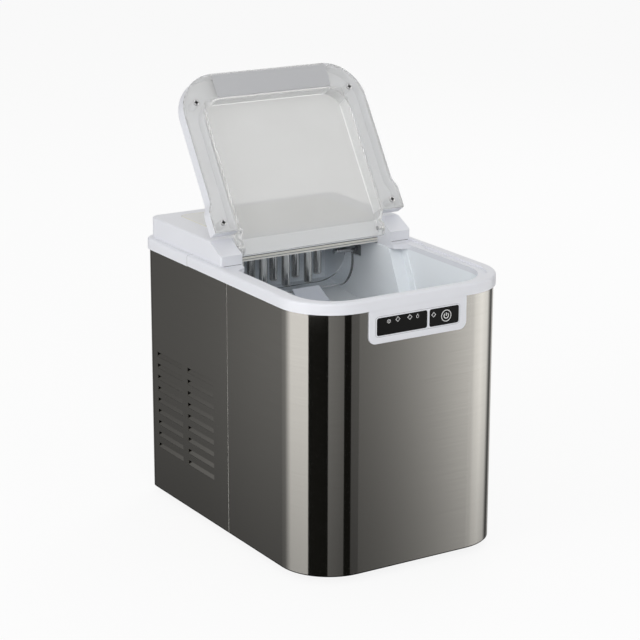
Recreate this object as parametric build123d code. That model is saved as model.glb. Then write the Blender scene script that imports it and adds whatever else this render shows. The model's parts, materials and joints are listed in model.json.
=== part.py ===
from build123d import *
import os
from math import cos, radians, sin, sqrt

# Counter-top ice maker with its lid open. Millimetres, +Z up, front towards -Y,
# origin on the floor below the middle of the casing.

# Casing
body_width = 242.0
body_depth = 344.0
rim_top = 291.4
front_corner = 55.0
rear_corner = 16.0
sheet = 0.8
foot_height = 8.0
seam_y = -7.4
seam_gap = 0.5
seam_flange = 7.0

# Clearances
fit_gap = 0.2
running_gap = 0.06
snug_gap = 0.1
cut_over = 1.0

# Rims round the top
rim_height = 11.6
rim_overhang = 2.2
rim_round = 2.5
rim_deck = 3.2
rim_lip = 2.2
rim_step = 0.5
rim_joint_y = 72.0
bridge_depth = 10.8
groove_depth = 0.9
groove_height = 0.8
groove_rise = 1.5

# Louvres in both sides of the rear wrap
louvre_height = 5.4
louvre_pitch = 13.0
louvre_rows = 9
louvre_columns = 2
louvre_lowest = 57.0
louvre_lean = 4.0
louvre_gap = 11.0
louvre_front_margin = 29.9
louvre_rear_margin = 24.5

# Base pan, feet and case screws
pan_rise = 1.0
pan_floor = 2.5
pan_wall = 2.0
pan_height = 18.0
foot_radius = 12.0
foot_inset = 34.0
foot_front_inset = 42.0
foot_taper = 1.5
foot_edge = 2.0
foot_socket = 1.2
post_radius = 8.0
post_inset = 22.0
post_front_inset = 30.0
vent_count = 6
vent_pitch = 16.0
vent_length = 30.0
vent_width = 5.0
vent_gap = 8.0
screw_inset = 21.0
screw_drop = 10.5
case_head_radius = 3.4
case_head_height = 1.4
case_shank_radius = 1.5
case_shank_length = 2.8

# Bin liner: front well, ramp under the tray, cheeks beside it
liner_wall = 2.5
mouth_margin = 16.0
mouth_front_margin = 13.5
mouth_corner = 43.0
neck_step = 13.5
neck_start_y = -6.0
neck_end_y = 8.0
liner_drop = 7.4
well_rear = -17.0
well_rear_corner = 8.0
well_floor = 62.0
cheek_step = 15.0
cheek_top_y = 12.7
cheek_drop = 69.4
ramp_front_drop = 86.4
ramp_rear_drop = 69.4
ramp_rear_margin = 32.0
guide_width = 5.0
guide_proud = 1.2
guide_inset = 4.0
guide_foot = 6.0
guide_top_gap = 1.0
foam_gap = 0.3
sensor_half = 7.0
sensor_room = 4.7
sensor_eye = 2.5
sensor_recess = 0.5
sensor_y = -60.0

# Rear cover and its hinge arms
cover_margin = 4.5
cover_rear_margin = 4.0
cover_front = 11.0
cover_height = 22.1
cover_wall = 2.5
cover_corner = 10.0
cover_front_corner = 2.0
cover_round = 2.0
slope_top_y = 35.0
slope_foot_rise = 10.1
slope_thinning = 0.4
arm_gap = 3.0
plate_margin = 32.0
plate_front_margin = 10.0
plate_rear_margin = 19.0
plate_corner = 8.0
plate_thick = 0.8

# Lid, described closed and then swung open
hinge_y = 25.5
hinge_rise = 12.6
lid_open = 122.8
lid_front_margin = 8.0
lid_heel = 15.5
lid_margin = 9.5
lid_flare_margin = 5.0
lid_corner = 44.0
lid_flare_near = 36.0
lid_flare_far = 52.0
lid_above = 2.6
lid_below = 14.2
lid_wall = 2.2
lid_round = 3.0
lid_seat_gap = 0.4
lid_side_gap = 0.8
panel_thick = 2.0
window_front_margin = 27.5
window_corner = 24.0
tub_run_out = 20.0
ear_thick = 4.0
ear_radius = 8.6
ear_fore = 6.9
ear_drop = 5.2
pane_behind = 7.7
pin_radius = 2.5
pin_depth = 9.0
pin_proud = 0.5
pin_boss = 2.5
lid_screw_inset = 17.1
lid_screw_front = 30.5
lid_screw_heel_inset = 7.6
lid_screw_heel = 25.6
screw_head_radius = 3.4
screw_head_height = 1.6
screw_head_round = 0.7
screw_sink = 1.3
screw_shank_radius = 1.5
screw_shank_length = 7.0
pillar_radius = 4.0

# Control tab on the front
tab_x = 2.0
tab_half = 58.0
tab_height = 34.2
tab_corner = 8.0
tab_edge = 0.8
bead_width = 1.1
bead_height = 0.4
bead_round = 0.3
window_left = -47.5
window_right = 50.2
window_drop = 8.0
window_height = 18.3
window_round = 2.5
divider_left = 12.2
divider_right = 14.6
panel_recess = 0.4
overlay_thick = 1.2
shell_window_inset = 2.0
button_x = 34.9
button_drop = 17.2
button_radius = 6.6
button_gap = 0.3
button_travel = 0.8
button_proud = 0.2
button_flange = 1.2
button_lip = 1.2
button_round = 0.5
lens_size = 2.4
lens_xs = (-22.7, -8.6, 19.9)
lens_drops = (12.2, 12.3, 14.2)
lens_proud = 0.1
peg_x = 52.5
peg_radius = 2.0
board_depth = 6.0
board_thick = 1.4
board_margin = 4.0
board_rise = 3.0
switch_half = 3.0
switch_tip = 1.75
switch_tip_length = 1.2

# Tilting tray
tray_back = 45.0
tray_drop = 22.4
tray_inner = 35.5
tray_wall = 2.0
tray_left_gap = 18.0
tray_right_gap = 25.0
tray_lip_drop = 36.0
tray_span = 192.0
tray_horn_angle = 12.0
tray_horn_radius = 30.0
tray_horn_width = 11.0
tray_boss_radius = 9.0
shaft_radius = 3.0
shaft_in_motor = 6.0
stub_out = 4.0
bush_wall = 3.0
bush_flange = 2.0
shaft_window_half = 13.0
shaft_window_height = 6.5

# Tray motor
motor_radius = 22.0
motor_depth = 18.0
motor_neck = 18.0
motor_drop = 11.0
motor_lug_half = 32.0
motor_lug_height = 6.0
motor_plate = 2.0

# Evaporator
finger_radius = 4.5
finger_round = 2.2
finger_counts = (4, 5)
finger_left_gap = 10.0
finger_right_gap = 15.0
finger_row_gap = 26.0
finger_tip_drop = 26.0
evap_radius = 4.0
evap_rise = 11.8
evap_bend = 8.0
evap_left_gap = 2.0
evap_right_gap = 8.0
evap_return = 7.0
bracket_left = -50.0
bracket_right = 15.0
bracket_thick = 1.5
bracket_hook = 10.0
bracket_reach = 6.0

# Ice shovel
shovel_y = 30.0
shovel_drop = 52.5
shovel_height = 32.5
shovel_rod = 3.0
shovel_left_gap = 4.0
shovel_right_gap = 47.0
shovel_flare = 8.0
shovel_belly = 12.0
shovel_bend = 14.0
shovel_plate = 2.6
shovel_notch = 13.0
shovel_notch_depth = 14.0
shovel_pin = 2.0

# Compressor on its rubber mounts
compressor_side_gap = 12.0
compressor_rear_gap = 17.0
compressor_radius = 57.0
compressor_height = 148.0
compressor_lift = 12.0
bowl_radius = 35.0
bowl_height = 22.0
bowl_inset = 1.5
bowl_curve = 24.0
weld_low = 78.0
weld_height = 6.0
dome_inset = 2.5
dome_height = 34.0
dome_curve = 58.14
foot_plate = 2.5
foot_plate_width = 26.0
foot_plate_core = 37.0
foot_plate_edge = 10.0
mount_reach = 54.0
mount_count = 3
mount_radius = 9.0
mount_neck = 5.0
mount_cap = 8.0
mount_cap_height = 2.5
stub_wall = 0.6
stub_reach = 8.0
stub_offset = 20.0
suction_stub = 120.0
discharge_stub = 112.0
terminal_width = 34.0
terminal_depth = 26.0
terminal_height = 40.0
terminal_rise = 52.0
terminal_inset = 6.0

# Condenser and fan
coil_side_gap = 19.0
coil_radius = 3.5
coil_passes = 5
coil_pitch = 26.0
coil_low = 61.0
coil_front = 24.0
coil_rear_margin = 22.0
coil_bend_slack = 0.2
fin_count = 15
fin_depth = 22.0
fin_thick = 0.5
fin_end_gap = 15.0
fin_gap = 0.05
frame_thick = 1.2
frame_trim = 1.0
frame_rail = 8.0
shroud_thick = 2.0
shroud_inset = 4.0
shroud_depth = 26.0
shroud_arm = 8.0
shroud_arm_thick = 2.5
shroud_seat = 21.0
shroud_hole = 7.0
fan_z = 113.0
fan_radius = 50.0
fan_blades = 5
fan_tip_gap = 3.0
fan_hub = 13.0
fan_hub_depth = 16.0
fan_hub_round = 3.0
fan_standoff = 4.0
fan_shaft_length = 37.0
blade_thick = 1.6
blade_chord = 25.0
blade_pitch = 32.0
blade_root = 8.0
fan_motor_radius = 19.0
fan_motor_depth = 30.0
fan_motor_neck = 6.5
fan_motor_nose = 3.0
fan_motor_bore = 15.0

# Refrigerant lines
line_radius = 3.0
discharge_bend = 7.0
liquid_bend = 6.0
line_rear_margin = 20.0
line_drop = 15.0
line_step = 4.0
drop_gap = 11.0
line_offset = 2.0
suction_gap = 5.5
suction_bend = 9.0
capillary_radius = 1.2
capillary_gap = 5.6
capillary_bend = 3.0
drier_margin = 12.0
drier_low = 92.0
drier_length = 88.0
drier_radius = 8.0
drier_wall = 0.8
drier_neck = 6.0
drier_taper = 10.0
drier_cone = 12.0
coil_turn = 10.0

# Water circuit
hose_radius = 4.0
hose_bore = 2.6
hose_bend = 12.0
pump_side_gap = 36.0
pump_gap = 23.0
pump_radius = 16.0
pump_height = 34.0
pump_round = 3.0
pump_spigot = 8.0
pump_inlet_rise = 12.0
inlet_offset = 45.0
inlet_y = -35.0
inlet_bend = 10.0
hose_rear_margin = 17.0
spout_rise = 31.5
spout_offset = 9.6
spout_reach = 7.0
drain_offset = 61.0
drain_y = -60.0
drain_z = 36.0
drain_bend = 14.0
drain_wall = 2.0
plug_radius = 7.0
plug_length = 18.0
plug_cap = 1.2
plug_cap_depth = 9.0
plug_proud = 1.8
plug_slot = 2.0
plug_slot_depth = 1.0
plug_slot_length = 12.0
plug_hole_gap = 1.5

# Main board and cord gland
main_width = 74.0
main_height = 76.0
main_thick = 1.6
main_standoff = 6.6
main_rise = 11.0
main_post = 3.0
main_post_inset = 4.0
relay_width = 20.0
relay_depth = 11.0
relay_height = 16.0
relay_inset = 10.0
capacitor_radius = 6.0
capacitor_length = 13.0
gland_x = -60.0
gland_z = 40.0
gland_radius = 6.0
gland_flange = 9.0
gland_proud = 2.0
gland_round = 1.2
gland_length = 9.0
gland_barb = 8.0
gland_grip = 2.5
gland_bore = 3.4

# Worked out from the sizes above
side = body_width / 2
front = -body_depth / 2
rear = body_depth / 2
rim_bottom = rim_top - rim_height
pan_bottom = foot_height + pan_rise
pan_top = pan_bottom + pan_floor
hinge_z = rim_top + hinge_rise
ledge_z = hinge_z - lid_below - lid_seat_gap
deck_z = ledge_z - rim_deck
shell_top = deck_z - fit_gap
face_y = front - rim_overhang
board_y = front + board_depth
mouth_half = side - mouth_margin
mouth_front = front + mouth_front_margin
neck_half = mouth_half - neck_step
cheek_half = mouth_half - cheek_step
liner_top = rim_top - liner_drop
cheek_foot_z = rim_top - cheek_drop
cheek_slope = (cheek_top_y - well_rear) / (liner_top - cheek_foot_z)
ramp_front_z = rim_top - ramp_front_drop
ramp_rear_z = rim_top - ramp_rear_drop
ramp_rear_y = rear - ramp_rear_margin
ramp_slope = (ramp_rear_z - ramp_front_z) / (ramp_rear_y - well_rear)
louvre_front_y = seam_y + louvre_front_margin
louvre_run = rear - louvre_rear_margin - louvre_front_y
louvre_length = (louvre_run - (louvre_columns - 1) * louvre_gap) / louvre_columns
cover_half = side - cover_margin
cover_rear = rear - cover_rear_margin
cover_top = rim_top + cover_height
slope_foot_z = rim_top + slope_foot_rise
plate_half = side - plate_margin
plate_front = slope_top_y + plate_front_margin
plate_rear = rear - plate_rear_margin
lid_half = side - lid_margin
lid_flare_half = side - lid_flare_margin
lid_reach = hinge_y - front - lid_front_margin
lid_top = hinge_z + lid_above
lid_face = hinge_z - lid_below
window_half = neck_half - arm_gap
window_reach = lid_reach - window_front_margin
ear_outer = window_half - fit_gap
ear_inner = ear_outer - ear_thick
window_high = rim_bottom - window_drop
window_low = window_high - window_height
button_z = rim_bottom - button_drop
lens_places = [(x, rim_bottom - drop) for x, drop in zip(lens_xs, lens_drops)]
tray_y = slope_top_y + tray_back
tray_z = rim_top - tray_drop
tray_outer = tray_inner + tray_wall
tray_left = tray_left_gap - cheek_half
tray_right = cheek_half - tray_right_gap
finger_first_x = tray_left + finger_left_gap
finger_pitch = (tray_right - finger_right_gap - finger_first_x) / (max(finger_counts) - 1)
finger_tip_z = tray_z - finger_tip_drop
evap_z = rim_top - evap_radius
row_front = tray_y - finger_row_gap / 2
row_rear = tray_y + finger_row_gap / 2
shovel_z = tray_z - shovel_drop
shovel_top_z = shovel_z + shovel_height
shovel_left = tray_left + shovel_left_gap
shovel_right = tray_right - shovel_right_gap
compressor_x = side - compressor_side_gap - compressor_radius
compressor_y = rear - compressor_rear_gap - compressor_radius
compressor_low = pan_top + compressor_lift
compressor_high = compressor_low + compressor_height
stub_end_x = compressor_x - compressor_radius - stub_reach
coil_x = coil_side_gap - side
coil_rear = rear - coil_rear_margin
coil_top = coil_low + coil_pitch * (coil_passes - 0.5)
fan_y = (coil_front + coil_rear) / 2
shroud_x = coil_x + fin_depth / 2 + frame_thick
line_rear_y = rear - line_rear_margin
line_z = ramp_front_z - line_drop
drop_x = stub_end_x - drop_gap
suction_x = suction_gap - cheek_half
capillary_x = tray_left - capillary_gap
drier_y = rear - drier_margin
pump_x = side - pump_side_gap
pump_y = well_rear + pump_gap
hose_z = (compressor_high + ramp_front_z - liner_wall) / 2
far = body_width + body_depth


def block(x0, x1, y0, y1, z0, z1):
    return Pos((x0 + x1) / 2, (y0 + y1) / 2, (z0 + z1) / 2) * Box(x1 - x0, y1 - y0, z1 - z0)


def rod_x(x0, x1, y, z, radius):
    return Pos((x0 + x1) / 2, y, z) * Rot(0, 90, 0) * Cylinder(radius, abs(x1 - x0))


def rod_y(x, y0, y1, z, radius):
    return Pos(x, (y0 + y1) / 2, z) * Rot(90, 0, 0) * Cylinder(radius, abs(y1 - y0))


def rod_z(x, y, z0, z1, radius):
    return Pos(x, y, (z0 + z1) / 2) * Cylinder(radius, z1 - z0)


def prism(plan, low, high):
    return Pos(0, 0, low) * extrude(plan, high - low)


def across(points, x0, x1):
    face = Plane.YZ * make_face(Polyline(*points, close=True))
    return Pos(x0, 0, 0) * extrude(face, x1 - x0)


def both_sides(piece):
    return [piece, mirror(piece, Plane.YZ)]


def rounded_plan(half, y_front, y_rear, r_front, r_rear):
    plan = Pos(0, (y_front + y_rear) / 2) * Rectangle(2 * half, y_rear - y_front)
    plan = fillet(plan.vertices().group_by(Axis.Y)[0], r_front)
    return fillet(plan.vertices().group_by(Axis.Y)[-1], r_rear)


def casing_plan(inset):
    return rounded_plan(side - inset, front + inset, rear - inset, front_corner - inset, rear_corner - inset)


def necked_plan(half, neck, y_front, y_rear, corner, ease_front, ease_rear):
    # round front corners, straight sides, and an S-curve to another width at the rear
    middle = (ease_front + ease_rear) / 2
    edge = [
        Line((0, y_front), (half - corner, y_front)),
        CenterArc((half - corner, y_front + corner), corner, -90, 90),
        Line((half, y_front + corner), (half, ease_front)),
        Bezier((half, ease_front), (half, middle), (neck, middle), (neck, ease_rear)),
        Line((neck, ease_rear), (neck, y_rear)),
        Line((neck, y_rear), (0, y_rear)),
    ]
    right = Curve() + edge
    return make_face(right + mirror(right, Plane.YZ))


def mouth_plan(grow=0.0):
    return necked_plan(mouth_half + grow, neck_half + grow, mouth_front - grow, slope_top_y + grow,
                       mouth_corner + grow, neck_start_y, neck_end_y)


def lid_plan(grow=0.0):
    return necked_plan(lid_half + grow, lid_flare_half + grow, hinge_y - lid_reach - grow,
                       hinge_y - lid_heel + grow, lid_corner + grow,
                       hinge_y - lid_flare_far, hinge_y - lid_flare_near)


def window_plan(grow, heel):
    length = window_reach - heel + 2 * grow
    plan = Pos(0, hinge_y - (window_reach + heel) / 2) * Rectangle(2 * (window_half + grow), length)
    return fillet(plan.vertices().group_by(Axis.Y)[0], window_corner + grow)


def tube(points, bend, radius, bore=0.0):
    path = FilletPolyline(*points, radius=bend)
    section = Circle(radius) - Circle(bore) if bore else Circle(radius)
    return sweep(Plane(origin=path @ 0, z_dir=path % 0) * section, path)


def swung_open(piece):
    return Pos(0, hinge_y, hinge_z) * Rot(-lid_open, 0, 0) * Pos(0, -hinge_y, -hinge_z) * piece


# Casing

def shell_ring():
    return prism(casing_plan(0) - casing_plan(sheet), foot_height, shell_top)


def seam_flanges(y0, y1):
    low = pan_bottom + pan_height + cut_over
    return both_sides(block(side - seam_flange, side - sheet / 2, y0, y1, low, shell_top))


def front_shell():
    shell = shell_ring() & block(-far, far, -far, seam_y, 0, far)
    shell += seam_flanges(seam_y - sheet, seam_y)
    inset = shell_window_inset
    y0 = front - cut_over
    y1 = front + sheet + cut_over
    openings = [
        block(window_left + inset, window_right - inset, y0, y1, window_low + inset, window_high - inset),
        rod_x(side - sheet - cut_over, side + cut_over, drain_y, drain_z, plug_radius + plug_hole_gap),
    ]
    openings += [rod_y(x, y0, y1, button_z, peg_radius + fit_gap) for x in (-peg_x, peg_x)]
    return shell - openings


def louvre_blade(y, z):
    # strip sheared along its top edge and pressed inwards
    points = [
        (-side, z - sheet / 2),
        (-side + sheet, z - sheet / 2),
        (-side + sheet + louvre_lean, z + louvre_height),
        (-side + louvre_lean, z + louvre_height),
    ]
    face = Plane.XZ * make_face(Polyline(*points, close=True))
    return Pos(0, y, 0) * extrude(face, -louvre_length)


def rear_shell():
    start = seam_y + seam_gap
    shell = shell_ring() & block(-far, far, start, far, 0, far)
    shell += seam_flanges(start, start + sheet)
    cuts = []
    blades = []
    for column in range(louvre_columns):
        y = louvre_front_y + column * (louvre_length + louvre_gap)
        for row in range(louvre_rows):
            z = louvre_lowest + row * louvre_pitch
            cuts.append(block(-side - cut_over, -side + sheet + cut_over,
                              y, y + louvre_length, z, z + louvre_height))
            blades.append(louvre_blade(y, z))
    cuts += [mirror(cut, Plane.YZ) for cut in cuts]
    blades += [mirror(blade, Plane.YZ) for blade in blades]
    shell = shell - cuts + blades
    shell -= case_screw_holes(case_shank_radius + fit_gap)
    return shell - rod_y(gland_x, rear - sheet - cut_over, rear + cut_over, gland_z, gland_radius + fit_gap)


def foot_places():
    x = side - foot_inset
    return [(sign * x, y) for y in (front + foot_front_inset, rear - foot_inset) for sign in (-1, 1)]


def post_places():
    x = mouth_half - post_inset
    return [(sign * x, y) for y in (mouth_front + post_front_inset, well_rear - post_inset) for sign in (-1, 1)]


def base_pan():
    outer = casing_plan(sheet + fit_gap)
    inner = casing_plan(sheet + fit_gap + pan_wall)
    pan = prism(outer, pan_bottom, pan_top) + prism(outer - inner, pan_top, pan_bottom + pan_height)
    posts = [rod_z(x, y, pan_top, well_floor - liner_wall, post_radius) for x, y in post_places()]
    vent_right = compressor_x - mount_reach - vent_gap
    vents = []
    for k in range(vent_count):
        y = compressor_y + (k - vent_count / 2) * vent_pitch
        vents.append(block(vent_right - vent_length, vent_right, y, y + vent_width,
                           pan_bottom - cut_over, pan_top + cut_over))
    socket_top = pan_bottom + foot_socket
    sockets = [rod_z(x, y, pan_bottom - cut_over, socket_top, foot_radius + fit_gap) for x, y in foot_places()]
    drain = rod_x(side - plug_cap_depth, side, drain_y, drain_z, plug_radius + plug_hole_gap)
    pilots = case_screw_holes(case_shank_radius + running_gap)
    return pan + posts - vents - sockets - pilots - drain


def rubber_feet():
    top = pan_bottom + foot_socket
    foot = make_face(Polyline((0, 0), (foot_radius - foot_taper, 0), (foot_radius, foot_edge),
                              (foot_radius, top), (0, top), close=True))
    foot = revolve(Plane.XZ * foot, Axis.Z)
    return [Pos(x, y, 0) * foot for x, y in foot_places()]


def case_screw_places():
    x = side - screw_inset
    levels = (pan_bottom + pan_height / 2, rim_bottom - screw_drop)
    return [(sign * x, z) for sign in (-1, 1) for z in levels]


def case_screw_holes(radius):
    y0 = rear - case_shank_length - cut_over
    return [rod_y(x, y0, rear + cut_over, z, radius) for x, z in case_screw_places()]


def case_screws():
    screw = rod_y(0, rear, rear + case_head_height, 0, case_head_radius)
    screw += rod_y(0, rear - case_shank_length, rear, 0, case_shank_radius)
    return [Pos(x, 0, z) * screw for x, z in case_screw_places()]


# Rims

def rim_blank(bottom):
    blank = prism(casing_plan(-rim_overhang), bottom, rim_top)
    blank = fillet(blank.faces().sort_by(Axis.Z)[-1].edges(), rim_round)
    blank -= prism(casing_plan(-snug_gap), bottom, liner_top)
    under_deck = casing_plan(-snug_gap) - mouth_plan(rim_lip)
    return blank - prism(under_deck, liner_top, deck_z)


def front_rim():
    rim = rim_blank(rim_bottom) & block(-far, far, -far, rim_joint_y, 0, far)
    bridge_rear = slope_top_y + bridge_depth
    before = slope_top_y - cut_over
    groove_low = deck_z + groove_rise
    return rim - [
        prism(mouth_plan(), rim_bottom, far),
        prism(lid_plan(lid_side_gap), ledge_z, far),
        block(-neck_half, neck_half, bridge_rear, far, 0, far),
        block(-neck_half, neck_half, before, bridge_rear + cut_over, 0, deck_z),
        block(-neck_half, neck_half, before, slope_top_y + groove_depth,
              groove_low, groove_low + groove_height),
    ]


def rear_rim():
    rim = rim_blank(rim_bottom - rim_step) & block(-far, far, rim_joint_y + fit_gap, far, 0, far)
    return rim - block(-neck_half, neck_half, 0, cover_rear - 2 * cover_wall, 0, far)


# Rear cover

def cover_profile(inset):
    foot = rim_top - (cut_over if inset else 0)
    drop = inset * slope_thinning
    return [
        (cover_front + inset, foot),
        (cover_front + inset, slope_foot_z - drop),
        (slope_top_y + inset / 2, cover_top - inset),
        (cover_rear - inset, cover_top - inset),
        (cover_rear - inset, foot),
    ]


def plate_outline(grow):
    corner = plate_corner + grow
    return rounded_plan(plate_half + grow, plate_front - grow, plate_rear + grow, corner, corner)


def rear_cover():
    plan = rounded_plan(cover_half, cover_front, cover_rear, cover_front_corner, cover_corner)
    body = prism(plan, rim_top, cover_top) & across(cover_profile(0), -cover_half, cover_half)
    body -= block(-neck_half, neck_half, 0, slope_top_y, 0, far)
    top = body.faces().sort_by(Axis.Z)[-1]
    ridge = [edge for edge in top.edges() if edge.center().Y > slope_top_y + cut_over]
    outside = fillet(ridge, cover_round)
    wall = cover_wall
    hollow = across(cover_profile(wall), wall - cover_half, cover_half - wall)
    hollow -= block(-neck_half - wall, neck_half + wall, 0, slope_top_y + wall, 0, far)
    room = rounded_plan(cover_half - wall, cover_front, cover_rear - wall,
                        cover_front_corner, cover_corner - wall)
    body = outside - (hollow & prism(room, 0, far))
    pin_end = neck_half + pin_depth
    bosses = both_sides(rod_x(neck_half, pin_end + wall, hinge_y, hinge_z, pin_radius + pin_boss))
    body += [boss & outside for boss in bosses]
    bore = rod_x(neck_half - cut_over, pin_end + fit_gap, hinge_y, hinge_z, pin_radius + running_gap)
    return body - both_sides(bore) - prism(plate_outline(fit_gap), cover_top - plate_thick, far)


def rear_top_plate():
    return prism(plate_outline(0), cover_top - plate_thick, cover_top)


def hinge_pins():
    return both_sides(rod_x(ear_inner - pin_proud, neck_half + pin_depth, hinge_y, hinge_z, pin_radius))


# Lid

def lid_screw_spots():
    front_pair = (lid_half - lid_screw_inset, lid_reach - lid_screw_front)
    heel_pair = (lid_half - lid_screw_heel_inset, lid_screw_heel)
    return [(sign * x, hinge_y - reach) for x, reach in (front_pair, heel_pair) for sign in (-1, 1)]


def lid_frame():
    low = lid_face + panel_thick
    frame = prism(lid_plan(), low, lid_top)
    frame = fillet(frame.faces().sort_by(Axis.Z)[-1].edges(), lid_round)
    hollow = lid_plan(-lid_wall) - window_plan(lid_wall, -far)
    frame -= prism(hollow, low, lid_top - lid_wall)
    frame += [rod_z(x, y, low, lid_top - lid_wall / 2, pillar_radius) for x, y in lid_screw_spots()]
    hole_top = low + screw_shank_length
    holes = [rod_z(x, y, low - cut_over, hole_top, screw_shank_radius) for x, y in lid_screw_spots()]
    frame -= [prism(window_plan(0, -far), 0, far)] + holes
    return swung_open(frame)


def lid_window():
    low = lid_face
    heel_y = hinge_y - lid_heel
    panel = prism(lid_plan(-fit_gap), low, low + panel_thick)
    panel += prism(window_plan(-fit_gap, lid_heel), low, lid_top)
    under_pane = lid_top - panel_thick
    tub = window_plan(-fit_gap - panel_thick, lid_heel - tub_run_out)
    panel -= prism(tub, low - cut_over, under_pane)
    pane = block(-ear_outer, ear_outer, heel_y - cut_over, hinge_y + pane_behind, under_pane, lid_top)
    profile = [
        (heel_y - cut_over, lid_top),
        (heel_y - cut_over, lid_face),
        (heel_y + cut_over, lid_face),
        (hinge_y - ear_fore, hinge_z - ear_drop),
        (hinge_y, hinge_z),
        (hinge_y, lid_top),
    ]
    ear = across(profile, ear_inner, ear_outer) + rod_x(ear_inner, ear_outer, hinge_y, hinge_z, ear_radius)
    ear &= block(0, far, -far, far, 0, lid_top)
    panel += [pane] + both_sides(ear)
    bore = rod_x(ear_inner - cut_over, ear_outer + cut_over, hinge_y, hinge_z, pin_radius + running_gap)
    hole = rod_z(0, 0, low - cut_over, low + panel_thick + cut_over, screw_shank_radius + fit_gap)
    hole += rod_z(0, 0, low - cut_over, low + screw_sink, screw_head_radius + 2 * fit_gap)
    holes = [Pos(x, y, 0) * hole for x, y in lid_screw_spots()]
    return swung_open(panel - both_sides(bore) - holes)


def lid_screws():
    seat = lid_face + screw_sink
    head = rod_z(0, 0, seat - screw_head_height, seat, screw_head_radius)
    head = fillet(head.faces().sort_by(Axis.Z)[0].edges(), screw_head_round)
    screw = head + rod_z(0, 0, seat, lid_face + screw_shank_length, screw_shank_radius - running_gap)
    return [swung_open(Pos(x, y, 0) * screw) for x, y in lid_screw_spots()]


# Control tab

def tab_window(left, right, grow):
    middle = ((left + right) / 2, 0, (window_low + window_high) / 2)
    outline = RectangleRounded(right - left + 2 * grow, window_height + 2 * grow, window_round + grow)
    return Plane(middle, x_dir=(1, 0, 0), z_dir=(0, -1, 0)) * outline


def on_front(outline, y_front, y_rear):
    return Pos(0, y_rear, 0) * extrude(outline, y_rear - y_front)


def lens_bar(x, z, y0, y1, grow):
    size = lens_size + 2 * grow
    return Pos(x, (y0 + y1) / 2, z) * Rot(0, 45, 0) * Box(size, y1 - y0, size)


def control_bezel():
    top = rim_bottom - fit_gap
    outline = Pos(tab_x, top - tab_height / 2) * Rectangle(2 * tab_half, tab_height)
    outline = fillet(outline.vertices().group_by(Axis.Y)[0], tab_corner)
    plate_y = face_y + bead_height
    tab = on_front(Plane.XZ * outline, plate_y, front)
    tab = fillet(tab.faces().sort_by(Axis.Y)[0].edges().group_by(Axis.Z)[0], tab_edge)
    bead = on_front(tab_window(window_left, window_right, bead_width), face_y, front)
    tab += fillet(bead.faces().sort_by(Axis.Y)[0].edges(), bead_round)
    floor_y = face_y + panel_recess + overlay_thick
    tab -= on_front(tab_window(window_left, divider_left, 0), face_y - cut_over, floor_y)
    tab -= on_front(tab_window(divider_right, window_right, 0), face_y - cut_over, floor_y)
    tab -= rod_y(button_x, floor_y - cut_over, front + cut_over, button_z, button_radius + button_gap)
    tab -= [lens_bar(x, z, floor_y - cut_over, front + cut_over, fit_gap) for x, z in lens_places]
    pegs = [rod_y(x, front - sheet / 2, board_y, button_z, peg_radius) for x in (-peg_x, peg_x)]
    return tab + pegs


def overlay(left, right, places):
    y0 = face_y + panel_recess
    y1 = y0 + overlay_thick
    panel = on_front(tab_window(left, right, -snug_gap), y0, y1)
    return panel - [lens_bar(x, z, y0 - cut_over, y1 + cut_over, snug_gap) for x, z in places]


def indicator_panel():
    return overlay(window_left, divider_left, lens_places[:2])


def button_panel():
    panel = overlay(divider_right, window_right, lens_places[2:])
    return panel - rod_y(button_x, face_y, front, button_z, button_radius + button_gap)


def indicator_lenses():
    y0 = face_y + panel_recess - lens_proud
    return [lens_bar(x, z, y0, board_y, 0) for x, z in lens_places]


def power_button():
    y0 = face_y + panel_recess - button_proud
    flange_y = front + sheet + fit_gap
    cap = rod_y(button_x, y0, flange_y, button_z, button_radius)
    cap = fillet(cap.faces().sort_by(Axis.Y)[0].edges(), button_round)
    return cap + rod_y(button_x, flange_y, flange_y + button_flange, button_z, button_radius + button_lip)


def control_board():
    half = peg_x + board_margin
    board = block(-half, half, board_y, board_y + board_thick,
                  window_low - board_rise, window_high + board_rise)
    tip_y = front + sheet + fit_gap + button_flange + button_travel + snug_gap
    x0 = button_x - switch_half
    x1 = button_x + switch_half
    switch = block(x0, x1, tip_y + switch_tip_length, board_y, button_z - switch_half, button_z + switch_half)
    return board + switch + rod_y(button_x, tip_y, board_y, button_z, switch_tip)


# Bin liner

def well_plan(grow):
    return rounded_plan(mouth_half + grow, mouth_front - grow, well_rear + grow,
                        mouth_corner + grow, well_rear_corner + grow)


def upper_plan(grow):
    return rounded_plan(mouth_half + grow, mouth_front - grow, slope_top_y, mouth_corner + grow, cut_over)


def cheek_profile(grow):
    # the cheeks lean forward as they go down
    foot = well_rear + grow * sqrt(1 + cheek_slope ** 2)
    return [(-far, cheek_foot_z - grow), (foot - grow * cheek_slope, cheek_foot_z - grow),
            (foot + (liner_top - cheek_foot_z) * cheek_slope, liner_top), (-far, liner_top)]


def ramp_profile(grow):
    low = ramp_front_z - grow
    start = well_rear - cut_over
    return [(start, low - ramp_slope * cut_over), (ramp_rear_y + grow, ramp_rear_z - grow + ramp_slope * grow),
            (ramp_rear_y + grow, liner_top), (start, liner_top)]


def liner_form(grow):
    half = cheek_half + grow
    form = prism(well_plan(grow), well_floor - grow, cheek_foot_z)
    form += prism(upper_plan(grow), cheek_foot_z - grow, liner_top) & across(cheek_profile(grow), -far, far)
    return form + across(ramp_profile(grow), -half, half)


def guide_rib():
    # low rib on the bin wall, beside the cheek's leading edge
    low = cheek_foot_z + guide_foot
    high = liner_top - guide_top_gap
    lean = (high - low) * cheek_slope
    y = well_rear - guide_inset
    points = [(y - guide_width, low), (y, low), (y + lean, high), (y + lean - guide_width, high)]
    return across(points, mouth_half - guide_proud, mouth_half + liner_wall / 2)


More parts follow.
